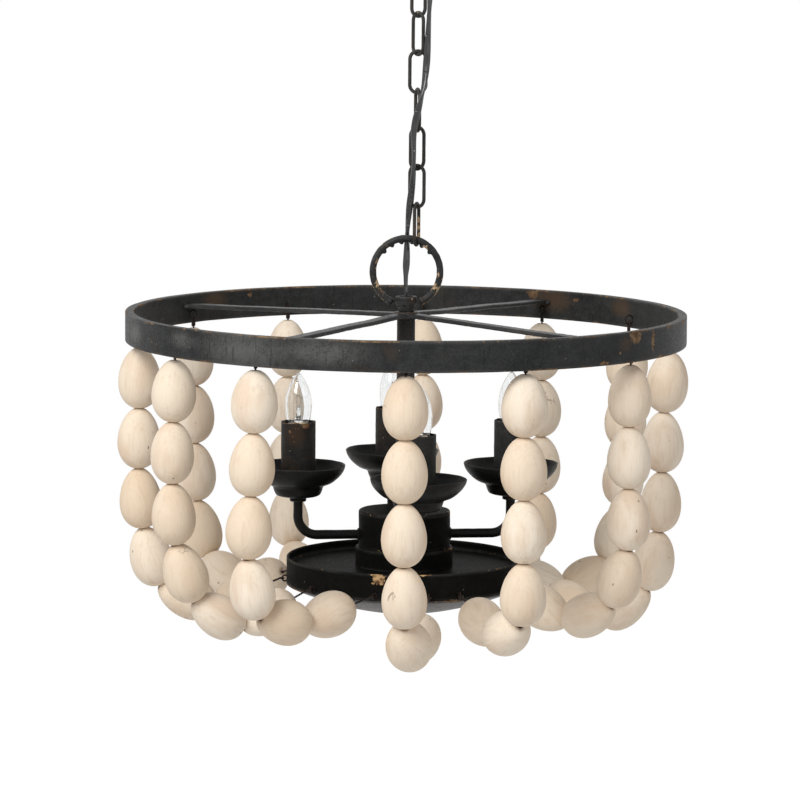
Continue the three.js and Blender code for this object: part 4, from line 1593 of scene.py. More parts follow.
@dataclass
class Pan(Assembly):
    """The round pan with its sunken tray and wire eyes, the dome under it and the nut that holds it."""

    strands: Strands
    radius: float = 0.129
    wall: float = 0.0022
    tray_depth: float = 0.0103
    tray_thick: float = 0.002
    dome_depth: float = 0.031
    dome_thick: float = 0.0018
    nut_radius: float = 0.009
    bore: float = 0.0053
    sides: int = 200

    def build(self) -> None:
        """Builds the pan, its eyes and the dome."""
        inner, tray = self.radius - self.wall, self.layout.pan_rim - self.tray_depth
        foot, rim, under = self.layout.pan_foot, self.layout.pan_rim, tray - self.tray_thick
        corners = [
            (self.radius, foot), (self.radius, rim), (inner, rim), (inner, tray, 0.002),
            (self.bore, tray), (self.bore, under), (inner, under), (inner, foot),
        ]
        pan = turned(rounded(corners, 0.0008, spacing=0.006), self.sides, self.layout.axis)
        for i, point in enumerate(pan.points):
            away = Vector((point.x - self.layout.axis.x, point.y, 0.0))
            if away.length > inner - 0.001:
                dent = noise.noise(point / 0.05) * 0.0005 + noise.noise(point / 0.012) * 0.00015 - 0.0005
                pan.points[i] = point + away.normalized() * dent
            else:
                pan.points[i] = point + upward(noise.noise(point / 0.035) * 0.0004)
        self.iron(pan, "lower_pan_shell", self.finishes.pan, "lower_pan")
        eyes = Skin()
        for shape in self.strands.shapes:
            _, eye, inward = self.strands.eyes(shape)
            yaw = math.degrees(math.atan2(inward.y, inward.x))
            eyes.add(wire_ring(eye, yaw, self.strands.pan_eye_radius, self.strands.ring.eye_wire / 2))
        self.iron(eyes, "lower_pan_eyes", self.finishes.wire)
        self._dome()

    def _dome(self) -> None:
        """Builds the dome and the nut under it."""
        top = self.layout.pan_foot - 0.0003
        lowest = top - self.dome_depth
        outside = [(self.radius - 0.0002, top, 1.0)]
        inside = []
        steps = 26
        for i in range(steps + 1):
            t = i / steps
            radius = self.radius - 0.0004 + (self.bore - self.radius) * t
            rise = (radius ** 2 - self.bore ** 2) / (self.radius ** 2 - self.bore ** 2)
            height = lowest + (top - 0.0009 - lowest) * rise
            outside.append((radius, height, 1.0 if i == 0 else 0.0))
            inside.append((max(radius - self.dome_thick, self.bore), height + self.dome_thick, 0.0))
        outline = outside + inside[::-1] + [(self.radius - self.dome_thick, top, 0.5)]
        dome = turned(outline, self.sides, self.layout.axis).dented(0.0003, 0.03)
        self.iron(dome, "pan_dome_shell", self.finishes.dome, "pan_dome")
        low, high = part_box("bottom_nut")
        corners = [
            (self.bore, low.z), (self.nut_radius, low.z, 0.0015), (self.nut_radius, high.z, 0.0008),
            (self.bore, high.z),
        ]
        nut = turned(rounded(corners, 0.0006), 48, self.layout.axis)
        self.iron(nut, "bottom_nut_knurled", self.finishes.pan, "bottom_nut")


@dataclass
class CeilingFitting(Assembly):
    """The canopy on its nipple, with the nut and the loop that the chain hangs from."""

    wall: float = 0.0012
    lip: float = 0.006
    bore: float = 0.0053
    cord_bore: float = 0.0028
    neck_radius: float = 0.007
    neck_depth: float = 0.009
    loop_wire: float = 0.005
    loop_radius: float = 0.0135
    loop_yaw: float = -50.0

    def build(self) -> None:
        """Builds the fitting."""
        origin = Vector()
        low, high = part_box("ceiling_canopy")
        outside, inside = [], []
        for i in range(21):
            share = i / 20
            outer = high.x + (self.bore - high.x) * share
            inner = high.x - self.wall + (self.bore - high.x + self.wall) * share
            drop = math.sin(share * math.pi / 2)
            outside.append((outer, -self.lip + (low.z + self.lip) * drop, 0.6 if i < 2 else 0.0))
            inside.append((inner, -self.lip + (low.z + self.wall + self.lip) * drop, 0.0))
        rim = [(high.x, -0.0009, 1.0), (high.x - 0.0006, -0.0003, 1.0), (high.x - self.wall, -0.0009, 1.0)]
        canopy = turned(outside[::-1] + rim + inside, 96, origin)
        self.hung(canopy, "ceiling_canopy_cup", self.finishes.pan, "ceiling_canopy")
        low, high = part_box("canopy_nut")
        corners = [(self.bore, low.z), (high.x, low.z, 0.0015), (high.x, high.z, 0.0008), (self.bore, high.z)]
        nut = turned(rounded(corners, 0.0005), 48, origin)
        self.hung(nut, "canopy_nut_ring", self.finishes.pan, "canopy_nut")
        self._loop()
        for node in ("ceiling_crossbar", "ceiling_nipple"):
            dress(node, self.finishes.zinc)

    def _loop(self) -> None:
        """Builds the loop and its neck."""
        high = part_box("canopy_loop")[1]
        foot = high.z - self.neck_depth
        centre = upward(foot - self.loop_radius)
        loop = wire_ring(centre, self.loop_yaw, self.loop_radius, self.loop_wire / 2, 64)
        waist = foot - self.loop_wire * 0.3
        corners = [
            (self.cord_bore, waist), (self.neck_radius * 0.8, waist, 0.002),
            (self.neck_radius, foot + 0.003, 0.002), (self.neck_radius, high.z, 0.0008),
            (self.cord_bore, high.z),
        ]
        loop.add(turned(rounded(corners, 0.0006), 40, Vector()))
        loop.worn(lambda point: (centre.z - self.loop_radius * 0.7 - point.z) / 0.003)
        self.hung(loop, "canopy_loop_eye", self.finishes.chain, "canopy_loop")

    @staticmethod
    def hung(skin: Skin, name: str, material: Material, *nodes: str) -> None:
        """Settles a dark iron piece of the ceiling."""
        settle(skin, name, material, Body.CEILING, Slot.DARK_IRON, *nodes)


@dataclass
class Chain(Assembly):
    """Seven bent wire links, each turned against the next, with a butt joint in one side."""

    wire: float = 0.0039
    width: float = 0.0215
    yaws: tuple[float, ...] = (35, -52, 8, -76, 35, -29, 75)
    joint_gap: float = 0.00005

    def build(self) -> None:
        """Builds every link."""
        for number, yaw in enumerate(self.yaws, start=1):
            low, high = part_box(f"chain_link_{number}")
            link = self._link(upward((low.z + high.z) / 2), yaw, high.z - low.z, number)
            name, body, node = f"chain_wire_{number}", f"link_{number}", f"chain_link_{number}"
            settle(link, name, self.finishes.chain, body, Slot.CHAIN_IRON, node)

    def _link(self, centre: Vector, yaw: float, length: float, number: int) -> Skin:
        """Bends one link from a length of wire.

        Args:
            centre: Its middle.
            yaw: Which way its flat side runs, in degrees.
            length: How long it is outside.
            number: Its number, from the top.

        Returns:
            The link.
        """
        radius = (self.width - self.wire) / 2
        straight = (length - self.wire) / 2 - radius
        out, gap = outward(yaw), self.joint_gap / 2
        bends = [math.pi * i / 20 for i in range(1, 20)]
        flat = [(radius, gap + (straight - gap) * i / 8) for i in range(9)]
        flat += [(radius * math.cos(a), straight + radius * math.sin(a)) for a in bends]
        flat += [(-radius, straight - 2 * straight * i / 16) for i in range(17)]
        flat += [(radius * math.cos(math.pi + a), -straight + radius * math.sin(math.pi + a)) for a in bends]
        flat += [(radius, -straight + (straight - gap) * i / 8) for i in range(9)]
        path, sizes = [], []
        for i, (a, b) in enumerate(flat):
            path.append(centre + out * a + upward(b))
            cut = i in (0, len(flat) - 1)
            share = 0.93 if cut else 1.0 - 0.02 * abs(noise.noise(path[-1] / 0.004))
            sizes.append(self.wire / 2 * share)
        link = swept(path, sizes, round_section(14), up=Vector((-out.y, out.x, 0.0)))
        reach = length / 2 - self.wire

        def rule(point: Vector) -> float:
            """Returns how worn the link is: most at its ends, its joint and here and there.

            Args:
                point: A point of the link.

            Returns:
                The wear, not yet kept from 0 to 1.
            """
            end = (abs(point.z - centre.z) - reach * 0.86) / 0.004
            joint = 1.0 - abs(point.z - centre.z) / 0.003 if (point - centre).dot(out) > 0 else 0.0
            rubbed = noise.noise(Vector((number * 7.0, point.z / 0.02, yaw))) - 0.25
            return max(end, joint * 0.4, rubbed * 1.6)

        return link.worn(rule)


@dataclass
class SupplyCord(Assembly):
    """The flat twin cord, threaded down the chain into the hub in stretches cut at the links' middles."""

    half_width: float = 0.00265
    half_thick: float = 0.00135
    route: tuple[tuple[float, float, float], ...] = (
        (0.0, 0.0, -0.0181), (0.0, 0.0, -0.044), (0.0014, 0.0012, -0.05), (0.0052, 0.004, -0.0565),
        (0.0105, 0.0018, -0.063), (0.0134, -0.0034, -0.071), (0.0132, -0.0066, -0.08),
        (0.0122, -0.0072, -0.092), (0.0114, -0.0074, -0.11), (0.0104, -0.008, -0.135),
        (0.0092, -0.0086, -0.16), (0.0072, -0.0106, -0.18), (0.0046, -0.0128, -0.194),
        (0.002, -0.0134, -0.206), (-0.0016, -0.0132, -0.22), (-0.004, -0.0126, -0.236),
        (-0.0036, -0.0126, -0.262), (-0.0042, -0.0114, -0.284), (-0.0064, -0.0066, -0.304),
        (-0.0084, -0.0004, -0.322), (-0.0096, 0.0052, -0.338), (-0.0102, 0.007, -0.352),
        (-0.0104, 0.0054, -0.37), (-0.0112, 0.0024, -0.392), (-0.0108, 0.0, -0.409),
    )
    turns: float = 3.2
    swell: float = 0.46
    bore_ends: tuple[float, float] = (-0.056, -0.392)
    still: float = 0.002
    still_above: float = 0.008
    still_below: float = 0.012
    steps: int = 8

    def build(self, chain: Chain) -> None:
        """Builds the cord in stretches between the links' middles.

        Args:
            chain: The chain that it runs down.
        """
        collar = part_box("hub_collar")[1].z
        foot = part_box("supply_cord")[0].z
        ends = [Vector((self.layout.axis.x, 0.0, height)) for height in (collar, (collar + foot) / 2, foot)]
        path = smooth_path([Vector(point) for point in self.route] + ends, self.steps)
        middles, bodies = [], [Body.CEILING.value]
        for number in range(1, len(chain.yaws) + 1):
            low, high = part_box(f"chain_link_{number}")
            middles.append((low.z + high.z) / 2)
            bodies.append(f"link_{number}")
        bodies.append(Body.FRAME.value)
        levels = [path[0].z] + middles + [path[-1].z]
        whole = self._rows(path)
        pieces = []
        for number in range(len(levels) - 1):
            upper, lower = levels[number], levels[number + 1]
            rows = self._cut(whole, upper, lower)
            stretch = Skin()
            stretch.add_rows(rows, [0.0] * len(rows))
            piece = stretch.to_object(f"supply_cord_stretch_{number + 1}")
            piece.data.materials.append(self.finishes.cord)
            pieces.append(piece)
            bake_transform(piece)
            LOG.info("built %s", piece.name)
        for piece in pieces:
            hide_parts("supply_cord")

    def _rows(self, path: Sequence[Vector]) -> list[tuple[Vector, list[Vector]]]:
        """Returns the cord's twisted section at each point of its path.

        Args:
            path: The cord's middle line.

        Returns:
            Each point with its section.
        """
        section = []
        for i in range(20):
            angle = math.tau * i / 20
            wide, thick = math.cos(angle), math.sin(angle)
            waist = 1.0 - 0.24 * math.exp(-(wide / 0.22) ** 2)
            height = thick * self.half_thick * waist * (1.25 - 0.25 * abs(wide) ** 3)
            section.append((wide * self.half_width, height))
        above, below = self.bore_ends
        sizes = []
        for point in path:
            free = min(1.0, max(0.0, min(above - point.z, point.z - below) / 0.012))
            sizes.append(1.0 + self.swell * free)
        swept_skin = swept(path, sizes, section, twist=math.tau * self.turns)
        count = len(section)
        turned_rows = [swept_skin.points[i * count:(i + 1) * count] for i in range(len(path))]
        return list(zip(path, turned_rows))

    @staticmethod
    def _cut(whole: Sequence[tuple[Vector, list[Vector]]], upper: float, lower: float) -> list[list[Vector]]:
        """Cuts one stretch out of the cord.

        Args:
            whole: Every point of the cord with its section.
            upper: The height at which the stretch starts.
            lower: The height at which it ends.

        Returns:
            The stretch's sections, from its start to its end.
        """
        rows = [row for point, row in whole if lower - 1e-6 <= point.z <= upper + 1e-6]
        found = []
        for level in (upper, lower):
            for (before, row_a), (after, row_b) in zip(whole, whole[1:]):
                if after.z < level < before.z:
                    t = (before.z - level) / (before.z - after.z)
                    found.append((level, [a.lerp(b, t) for a, b in zip(row_a, row_b)]))
                    break
        for level, row in found:
            rows = [row] + rows if level == upper else rows + [row]
        return rows

    @staticmethod
    def _place(path: Sequence[Vector], level: float) -> Vector:
        """Returns the point of the path at a height."""
        return min(path, key=lambda point: abs(point.z - level))


@dataclass
class SuspensionRing(Assembly):
    """The bent bar with nubs under its top, ending in a ball at each side of the collar."""

    bar: float = 0.0075
    radius: float = 0.0365
    ball_radius: float = 0.0046
    nub_radius: float = 0.0027
    nub_angles: tuple[float, ...] = (41, 60, 80, 100, 119, 138)

    def build(self) -> None:
        """Builds the ring as one casting."""
        low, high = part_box("suspension_ring")
        centre = Vector((self.layout.axis.x, 0.0, high.z - self.bar / 2 - self.radius))
        ball_z = low.z + self.ball_radius
        ball_x = math.sqrt(self.radius ** 2 - (centre.z - ball_z) ** 2)
        end = math.degrees(math.atan2(ball_z - centre.z, ball_x))
        path = []
        for i in range(81):
            x, z = polar(self.radius, end + (180 - 2 * end) * i / 80)
            path.append(centre + Vector((x, 0.0, z)))
        ring = swept(path, self.bar / 2, round_section(20))
        for degrees in self.nub_angles:
            x, z = polar(self.radius - self.bar / 2, degrees)
            ring.add(lump(centre + Vector((x, 0.0, z)), (self.nub_radius,) * 3))
        for side in (-1, 1):
            ball = centre + Vector((side * ball_x, 0.0, ball_z - centre.z))
            ring.add(lump(ball, (self.ball_radius * 0.98,) * 3, 16))
        casting = ring.fused(0.0007, 3).dented(0.00025, 0.005)
        casting.worn(lambda point: 0.55 + ((point - centre).length - self.radius) / self.bar)
        self.iron(casting, "suspension_ring_bar", self.finishes.ring, "suspension_ring")


@dataclass
class Hub(Assembly):
    """The collar and the boss that the spokes are welded to, and the column down to the drum."""

    bore: float = 0.0053
    collar_radius: float = 0.0115
    collar_foot_radius: float = 0.0086
    cup_radius: float = 0.008
    cup_depth: float = 0.009
    boss_radius: float = 0.013
    column_radius: float = 0.0099
    column_wall: float = 0.0018

    def build(self, spokes: UpperRing) -> None:
        """Builds the hub and the column.

        Args:
            spokes: The ring whose spokes are welded on.
        """
        low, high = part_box("hub_collar")
        height = high.z - low.z
        corners = [
            (self.bore, low.z), (self.collar_foot_radius, low.z),
            (self.collar_foot_radius, low.z + height / 6, 0.0015),
            (self.collar_radius, low.z + height / 2, 0.002), (self.collar_radius, high.z, 0.001),
            (self.cup_radius, high.z, 0.0008), (self.cup_radius, high.z - self.cup_depth, 0.002),
            (self.bore, high.z - self.cup_depth),
        ]
        collar = turned(rounded(corners, 0.0008, spacing=0.0025), 64, self.layout.axis).dented(0.00018, 0.004)
        self.iron(collar, "hub_collar_cup", self.finishes.collar, "hub_collar")

        low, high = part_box("hub_boss")
        wall = oblong(self.bore, self.boss_radius, low.z, high.z)
        boss = turned(rounded(wall, 0.0012, spacing=0.002), 64, self.layout.axis)
        luck = random.Random(7)
        for degrees in spokes.spoke_angles:
            for side in (-1, 0, 1):
                x, y = polar(self.boss_radius - 0.0018, degrees + side * 26 + luck.uniform(-4, 4))
                z = self.layout.band_top - spokes.spoke_hub_depth + luck.uniform(-0.0026, 0.0006)
                boss.add(lump(self.layout.axis + Vector((x, y, z)), (0.0026, 0.0026, 0.0024)))
        boss = boss.fused(0.0007, 2).dented(0.0002, 0.004)
        boss.worn(lambda point: 0.75)
        self.iron(boss, "hub_boss_weld", self.finishes.hub, "hub_boss")

        low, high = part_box("column_tube")
        wall = oblong(self.column_radius - self.column_wall, self.column_radius, low.z, high.z)
        column = turned(rounded(wall, 0.0004, spacing=0.004), 56, self.layout.axis).dented(0.00012, 0.008)
        settle(column, "column_tube_pipe", self.finishes.column, Body.FRAME, Slot.BROWN_IRON, "column_tube")
        dress("centre_pipe", self.finishes.zinc)


@dataclass
class Drum(Assembly):
    """The round box in the middle of the pan, on its shallow foot."""

    wall: float = 0.002
    cover_edge: float = 0.0025
    foot_edge: float = 0.0018
    bore: float = 0.0053
    sides: int = 128

    def build(self) -> None:
        """Builds the drum's cover and its foot."""
        for node, name, edge in (
            ("drum_cover", "drum_cover_shell", self.cover_edge),
            ("drum_foot", "drum_foot_shell", self.foot_edge),
        ):
            low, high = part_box(node)
            radius = high.x - self.layout.axis.x
            corners = [
                (radius, low.z), (radius, high.z, edge), (self.bore, high.z), (self.bore, high.z - self.wall),
                (radius - self.wall, high.z - self.wall, edge), (radius - self.wall, low.z),
            ]
            shell = turned(rounded(corners, 0.0006, spacing=0.005), self.sides, self.layout.axis)
            self.iron(shell.dented(0.0003, 0.02), name, self.finishes.pan, node)


@dataclass
class Lights(Assembly):
    """Four candle lights, each with its arm, bowl, candle sleeve, holder and clear lamp."""

    count: int = 4
    turn: float = 7.0
    reach: float = 0.117
    arm_radius: float = 0.0051
    arm_bend: float = 0.021
    arm_inset: float = 0.007
    arm_drop: float = 0.0268
    arm_collar_radius: float = 0.009
    arm_collar_height: float = 0.0046
    bowl_wall: float = 0.0016
    bowl_radius_shares: tuple[float, ...] = (0.27, 0.44, 0.5, 0.545, 0.72, 0.88, 0.965, 1)
    bowl_height_shares: tuple[float, ...] = (0, 0.06, 0.2, 0.35, 0.46, 0.66, 0.84, 1)
    sleeve_radius: float = 0.019
    sleeve_wall: float = 0.0015
    rusty_sleeves: tuple[int, ...] = (3, 4)
    holder_bore: float = 0.0074
    holder_bore_depth: float = 0.026
    lamp_radius: float = 0.0146
    lamp_cap_radius: float = 0.0067
    lamp_cap_length: float = 0.022
    lamp_glass_length: float = 0.055
    lamp_glass_wall: float = 0.0006
    coil_turns: int = 22
    coil_radius: float = 0.00032
    lamp_height_shares: tuple[float, ...] = (0, 0.06, 0.15, 0.27, 0.4, 0.55, 0.7, 0.83, 0.92, 0.97, 1)
    lamp_radius_shares: tuple[float, ...] = (0.82, 0.88, 0.94, 0.985, 1, 0.93, 0.76, 0.52, 0.31, 0.18, 0.06)

    def build(self) -> None:
        """Builds the four lights."""
        for number in range(1, self.count + 1):
            degrees = self.turn - 90 + (number - 1) * 360 / self.count
            x, y = polar(self.reach, degrees)
            self._arm(number, degrees)
            stand = self.layout.axis + Vector((x, y, 0.0))
            self._bowl(number, stand)
            self._sleeve(number, stand)
            self._holder(number, stand)
            self._lamp(number, stand)

    def _arm(self, number: int, degrees: float) -> None:
        """Builds one arm with its collar and the weld at the drum.

        Args:
            number: Which light it carries.
            degrees: Where it points.
        """
        out = outward(degrees)
        sideways = Vector((-out.y, out.x, 0.0))
        height = self.layout.drum_top - self.arm_drop
        drum_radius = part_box("drum_cover")[1].x - self.layout.axis.x
        bowl_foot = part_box(f"bowl_{number}")[0].z
        straight = self.reach - self.arm_bend - drum_radius + self.arm_inset
        flat = [(drum_radius - self.arm_inset + straight * i / 8, 0.0) for i in range(8)]
        for i in range(13):
            a, b = polar(self.arm_bend, 90 * i / 12 - 90)
            flat.append((self.reach - self.arm_bend + a, self.arm_bend + b))
        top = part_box(f"arm_{number}")[1].z - height
        flat += [(self.reach, self.arm_bend + (top - self.arm_bend) * i / 8) for i in range(1, 9)]
        path = [self.layout.axis + out * a + upward(height + b) for a, b in flat]
        arm = swept(path, self.arm_radius, round_section(22), up=sideways)
        collar_top = bowl_foot - 0.0003
        stand = self.layout.axis + out * self.reach
        collar_foot, inner = collar_top - self.arm_collar_height, self.arm_radius * 0.9
        corners = [
            (inner, collar_foot), (self.arm_collar_radius, collar_foot, 0.0012),
            (self.arm_collar_radius, collar_top, 0.0012), (inner, collar_top),
        ]
        arm.add(turned(rounded(corners, 0.0008, spacing=0.002), 40, stand))
        luck = random.Random(number)
        for i in range(14):
            a, b = polar(self.arm_radius + 0.0006, 360 * i / 14)
            bead = self.layout.axis + out * (drum_radius + 0.0002) + sideways * a + upward(height + b)
            size = luck.uniform(0.0013, 0.0017)
            arm.add(lump(bead, (size, size, size), 8))
        arm.dented(0.0002, 0.01, number)
        self.iron(arm, f"arm_tube_{number}", self.finishes.lamp, f"arm_{number}")

    def _bowl(self, number: int, stand: Vector) -> None:
        """Builds one bowl, stepped below and with an uneven rim.

        Args:
            number: Which light it belongs to.
            stand: The axis that it stands on.
        """
        low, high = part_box(f"bowl_{number}")
        rim = high.z - self.bowl_wall / 3
        radius = (high.x - low.x) / 2
        tall = rim - low.z
        bore = self.arm_radius + 0.0003
        points = [
            Vector((r * radius, low.z + h * tall, 0.0))
            for r, h in zip(self.bowl_radius_shares, self.bowl_height_shares)
        ]
        curve = smooth_path(points, 4)
        outside = [(bore, low.z, 0.0), (curve[0].x * 0.7, low.z, 0.0)]
        outside += [(point.x, point.y, 0.0) for point in curve[:-1]]
        outside += [
            (radius - 0.0002, rim - 0.0004, 0.8), (radius - 0.0006, rim, 1.0),
            (radius - 0.0011, rim - 0.0002, 0.8),
        ]
        inside = [
            (max(point.x - self.bowl_wall * 0.75, bore + 0.001), point.y + self.bowl_wall * 0.7, 0.0)
            for point in curve[:-2]
        ]
        outline = outside + inside[::-1] + [(bore, low.z + self.bowl_wall, 0.0)]
        bowl = turned(outline, 120, stand)
        for i, point in enumerate(bowl.points):
            share = max(0.0, (point.z - low.z) / tall) ** 2
            around = math.atan2(point.y - stand.y, point.x - stand.x)
            wave = noise.noise(Vector((math.cos(around) * 1.6, math.sin(around) * 1.6, number * 5.0)))
            away = Vector((point.x - stand.x, point.y - stand.y, 0.0)).normalized()
            pushed = point + away * ((wave - 0.45) * 0.0009 * share)
            bowl.points[i] = pushed - upward(0.0007 * share * (0.5 + wave))
        bowl.dented(0.0002, 0.014, number)
        self.iron(bowl, f"bowl_cup_{number}", self.finishes.lamp, f"bowl_{number}")

    def _sleeve(self, number: int, stand: Vector) -> None:
        """Builds one candle sleeve, rough at its top.

        Args:
            number: Which light it belongs to.
            stand: The axis that it stands on.
        """
        low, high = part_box(f"candle_sleeve_{number}")
        top = high.z - 0.0006
        wall = oblong(self.sleeve_radius - self.sleeve_wall, self.sleeve_radius - 0.0002, low.z, top)
        sleeve = turned(rounded(wall, 0.0005, spacing=0.003), 88, stand)
        for i, point in enumerate(sleeve.points):
            near = math.exp((point.z - top) / 0.004)
            ragged = noise.noise(Vector((point.x, point.y, 0.0)) / 0.006 + upward(number * 3.0))
            sleeve.points[i] = point + upward((ragged - 0.5) * 0.0009 * near)
        sleeve.dented(0.00022, 0.008, number)
        finish = self.finishes.rusty_sleeve if number in self.rusty_sleeves else self.finishes.sleeve
        self.iron(sleeve, f"candle_cover_{number}", finish, f"candle_sleeve_{number}")

    def _holder(self, number: int, stand: Vector) -> None:
        """Builds one lamp holder with its threaded shell.

        Args:
            number: Which light it belongs to.
            stand: The axis that it stands on.
        """
        low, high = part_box(f"lamp_socket_{number}")
        radius = (high.x - low.x) / 2
        lip, floor = radius - 0.0012, high.z - self.holder_bore_depth
        bore = self.arm_radius + 0.0003
        corners = [
            (bore, low.z), (radius, low.z), (radius, high.z - 0.006, 0.001), (lip, high.z - 0.005, 0.001),
            (lip, high.z, 0.0009), (self.holder_bore, high.z, 0.0006), (self.holder_bore, floor),
            (bore, floor - 0.001),
        ]
        holder = turned(rounded(corners, 0.0005, spacing=0.004), 48, stand)
        name, node = f"lamp_holder_{number}", f"lamp_socket_{number}"
        settle(holder, name, self.finishes.socket, Body.FRAME, Slot.SOCKET, node)
        thread = []
        for i in range(49):
            t = i / 48
            height = high.z - 0.0015 - t * (self.holder_bore_depth - 0.004)
            ridge = 0.00016 * (1 + math.cos(math.tau * t * 9)) / 2
            thread.append((self.holder_bore - 0.00012 - ridge, height, 0.0))
        back = [(self.holder_bore - 0.00002, height, 0.0) for _, height, _ in (thread[-1], thread[0])]
        shell = turned(thread + back, 48, stand)
        settle(shell, f"holder_shell_{number}", self.finishes.brass, Body.FRAME, Slot.SOCKET)

    def _lamp(self, number: int, stand: Vector) -> None:
        """Builds one clear lamp with its threaded cap, stem and filament.

        Args:
            number: Which light it belongs to.
            stand: The axis that it stands on.
        """
        body = f"bulb_{number}"
        low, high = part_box(body)
        foot = low.z + self.lamp_cap_length
        points = [
            Vector((across * self.lamp_radius, foot + up * self.lamp_glass_length, 0.0))
            for across, up in zip(self.lamp_radius_shares, self.lamp_height_shares)
        ]
        curve = smooth_path(points, 4)
        outside = [(point.x, point.y, 0.0) for point in curve] + [(0.0002, high.z, 0.0)]
        wall, ceiling = self.lamp_glass_wall, high.z - 0.0016
        inside = [(point.x - wall, min(point.y, ceiling), 0.0) for point in curve if point.x > wall * 2.4]
        inside.append((0.0002, ceiling, 0.0))
        glass = turned(outside + inside[::-1], 64, stand)
        settle(glass, f"lamp_glass_{number}", self.finishes.glass, body, Slot.GLASS, body)

        cap = [
            (0.0002, low.z, 0.0), (0.0022, low.z + 0.0002, 0.6), (0.0026, low.z + 0.0016, 0.6),
            (self.lamp_cap_radius * 0.75, low.z + 0.003, 0.0),
        ]
        for i in range(57):
            t = i / 56
            ridge = 0.0004 * (1 + math.cos(math.tau * t * 6)) / 2
            worn = 1.0 if ridge < 0.00006 else 0.0
            cap.append((self.lamp_cap_radius - 0.0001 - ridge, low.z + 0.0042 + t * 0.0122, worn))
        cap += [(self.lamp_cap_radius - 0.0001, foot - 0.0002, 0.5), (0.0002, foot - 0.0002, 0.0)]
        threaded = turned(cap, 56, stand, looped=False)
        settle(threaded, f"lamp_cap_{number}", self.finishes.brass, body, Slot.GLASS)
        self._stem(number, stand, foot, body)

    def _stem(self, number: int, stand: Vector, foot: float, body: str) -> None:
        """Builds the glass stem, the two lead wires and the filament.

        Args:
            number: Which light it belongs to.
            stand: The axis that it stands on.
            foot: Where the glass starts.
            body: The lamp's body.
        """
        rise = foot + 0.0008
        stem_outline = [
            (0.0002, rise, 0.0), (0.0052, rise + 0.0002, 0.0), (0.0042, rise + 0.003, 0.0),
            (0.0024, rise + 0.008, 0.0), (0.0022, rise + 0.014, 0.0), (0.0026, rise + 0.0155, 0.0),
            (0.0002, rise + 0.017, 0.0),
        ]
        stem = turned(stem_outline, 32, stand, looped=False)
        settle(stem, f"lamp_stem_{number}", self.finishes.glass, body, Slot.GLASS)
        side = outward(35 * number)
        out = side.cross(upward(1.0))
        wires = Skin()
        tips = []
        for sign in (-1, 1):
            path = [
                stand + side * sign * 0.001 + upward(rise + 0.013),
                stand + side * sign * 0.002 + upward(rise + 0.019),
                stand + side * sign * 0.0042 + upward(rise + 0.026),
            ]
            tips.append(path[-1])
            wires.add(swept(smooth_path(path, 5), 0.00022, round_section(8)))
        path = []
        for i in range(181):
            t = i / 180
            angle = math.tau * self.coil_turns * t
            middle = tips[0].lerp(tips[1], t) + upward(0.0035 * math.sin(math.pi * t))
            coil = self.coil_radius
            path.append(middle + upward(coil * math.cos(angle)) + out * coil * math.sin(angle))
        wires.add(swept(path, 0.00009, round_section(5)))
        settle(wires, f"lamp_filament_{number}", self.finishes.tungsten, body, Slot.GLASS)


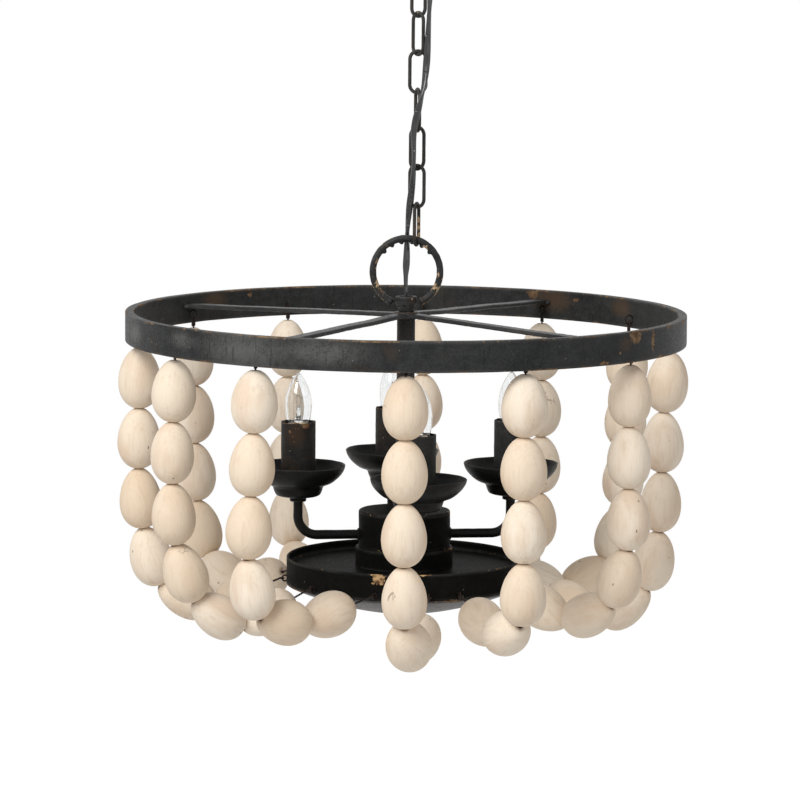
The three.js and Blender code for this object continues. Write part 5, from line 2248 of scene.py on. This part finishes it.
@dataclass
class Studio:
    """The white studio: camera, soft lights, pale floor and world."""

    camera_offset: tuple[float, float, float] = (-0.0059, -4.5, 0.4558)
    camera_pitch: float = 0.1223
    camera_roll: float = 0.0085
    lens: float = 187.15
    sensor: float = 36.0
    floor_height: float = -2.3
    key_strength: float = 126.0
    fill_strength: float = 13.0
    world_strength: float = 0.475

    def build(self, layout: Layout) -> None:
        """Sets up the camera and the light.

        Args:
            layout: The object's levels.
        """
        scene = bpy.context.scene
        data = bpy.data.cameras.new("photo_camera")
        data.lens, data.sensor_width = self.lens, self.sensor
        data.clip_start, data.clip_end = 0.05, 60.0
        camera = bpy.data.objects.new("photo_camera", data)
        x, y, z = self.camera_offset
        camera.location = (layout.axis.x + x, y, layout.band_top + z)
        camera.rotation_mode = "ZYX"
        camera.rotation_euler = (math.pi / 2 - self.camera_pitch, 0.0, self.camera_roll)
        scene.collection.objects.link(camera)
        scene.camera = camera
        middle = Vector((layout.axis.x, 0.0, -0.58))
        self._light("key", middle + Vector((-1.7, -2.6, 2.3)), middle, 1.9, self.key_strength)
        self._light("fill", middle + Vector((2.4, -2.4, 0.8)), middle, 2.4, self.fill_strength)
        self._world(scene)
        self._floor()
        scene.view_settings.view_transform = "Standard"

    @staticmethod
    def _light(name: str, place: Vector, target: Vector, size: float, power: float) -> None:
        """Adds one soft square light that faces the object.

        Args:
            name: The light's name.
            place: Where it stands.
            target: The point that it faces.
            size: How wide it is, in metres.
            power: Its power, in watts.
        """
        data = bpy.data.lights.new(name, "AREA")
        data.size, data.energy = size, power
        light = bpy.data.objects.new(name, data)
        light.location = place
        light.rotation_euler = (target - place).to_track_quat("-Z", "Y").to_euler()
        bpy.context.scene.collection.objects.link(light)

    @staticmethod
    def _seen(sketch: Sketch) -> Socket:
        """Picks out the camera's rays, and those that metal and glass send on.

        Args:
            sketch: The tree that needs the mask.

        Returns:
            1 for these rays, 0 for those that light the object.
        """
        path = sketch.node("LightPath")
        clear = sketch.math("MAXIMUM", path.outputs["Is Glossy Ray"], path.outputs["Is Transmission Ray"])
        return sketch.math("MAXIMUM", path.outputs["Is Camera Ray"], clear)

    def _world(self, scene: bpy.types.Scene) -> None:
        """Makes the surroundings: white to the camera, softer on the object.

        Args:
            scene: The scene that it surrounds.
        """
        world = bpy.data.worlds.new("studio")
        sketch = blank(world)
        seen = self._seen(sketch)
        strength = sketch.ramp(seen, 0.0, 1.0, self.world_strength, 1.0)
        shine = sketch.node("Background", {"Color": (1.0, 1.0, 1.0, 1.0), "Strength": strength})
        sketch.node("OutputWorld", {"Surface": shine.outputs["Background"]})
        scene.world = world

    def _floor(self) -> None:
        """Makes the pale floor far below."""
        skin = Skin()
        skin.points = [Vector((x, y, self.floor_height)) for x, y in ((-9, -9), (9, -9), (9, 9), (-9, 9))]
        skin.faces = [(0, 1, 2, 3)]
        skin.wear = [0.0] * 4
        floor = skin.to_object("studio_floor")
        material = bpy.data.materials.new("studio_white")
        sketch = blank(material)
        seen = self._seen(sketch)
        plain = sketch.node("BsdfDiffuse", {"Color": (0.86, 0.86, 0.86, 1.0)})
        glow = sketch.node("Emission", {"Color": (1.0, 1.0, 1.0, 1.0), "Strength": sketch.times(seen, 0.6)})
        both = sketch.node("AddShader", {0: plain.outputs[0], 1: glow.outputs[0]})
        sketch.node("OutputMaterial", {"Surface": both.outputs[0]})
        floor.data.materials.append(material)


def corners(box: Sequence[Sequence[float]]) -> list[list[float]]:
    """Returns a box as plain lists of numbers."""
    return [[float(value) for value in corner] for corner in box]


def main() -> None:
    """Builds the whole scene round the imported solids."""
    logging.basicConfig(level=logging.INFO, format="%(message)s")
    # Without a seed, noise_vector starts from the clock and the dents differ from run to run
    noise.seed_set(DENT_SEED)
    FRAME.update(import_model())
    layout = Layout.from_solids()
    Studio().build(layout)
    finishes = Finishes()
    chain = Chain(layout, finishes)
    SupplyCord(layout, finishes).build(chain)
    CeilingFitting(layout, finishes).build()
    chain.build()
    SuspensionRing(layout, finishes).build()
    ring = UpperRing(layout, finishes)
    strands = Strands(layout, finishes, ring)
    ring.build([shape.ring for shape in strands.shapes])
    Hub(layout, finishes).build(ring)
    Drum(layout, finishes).build()
    Pan(layout, finishes, strands).build()
    Lights(layout, finishes).build()
    strands.build()


if __name__ == "__main__":
    main()
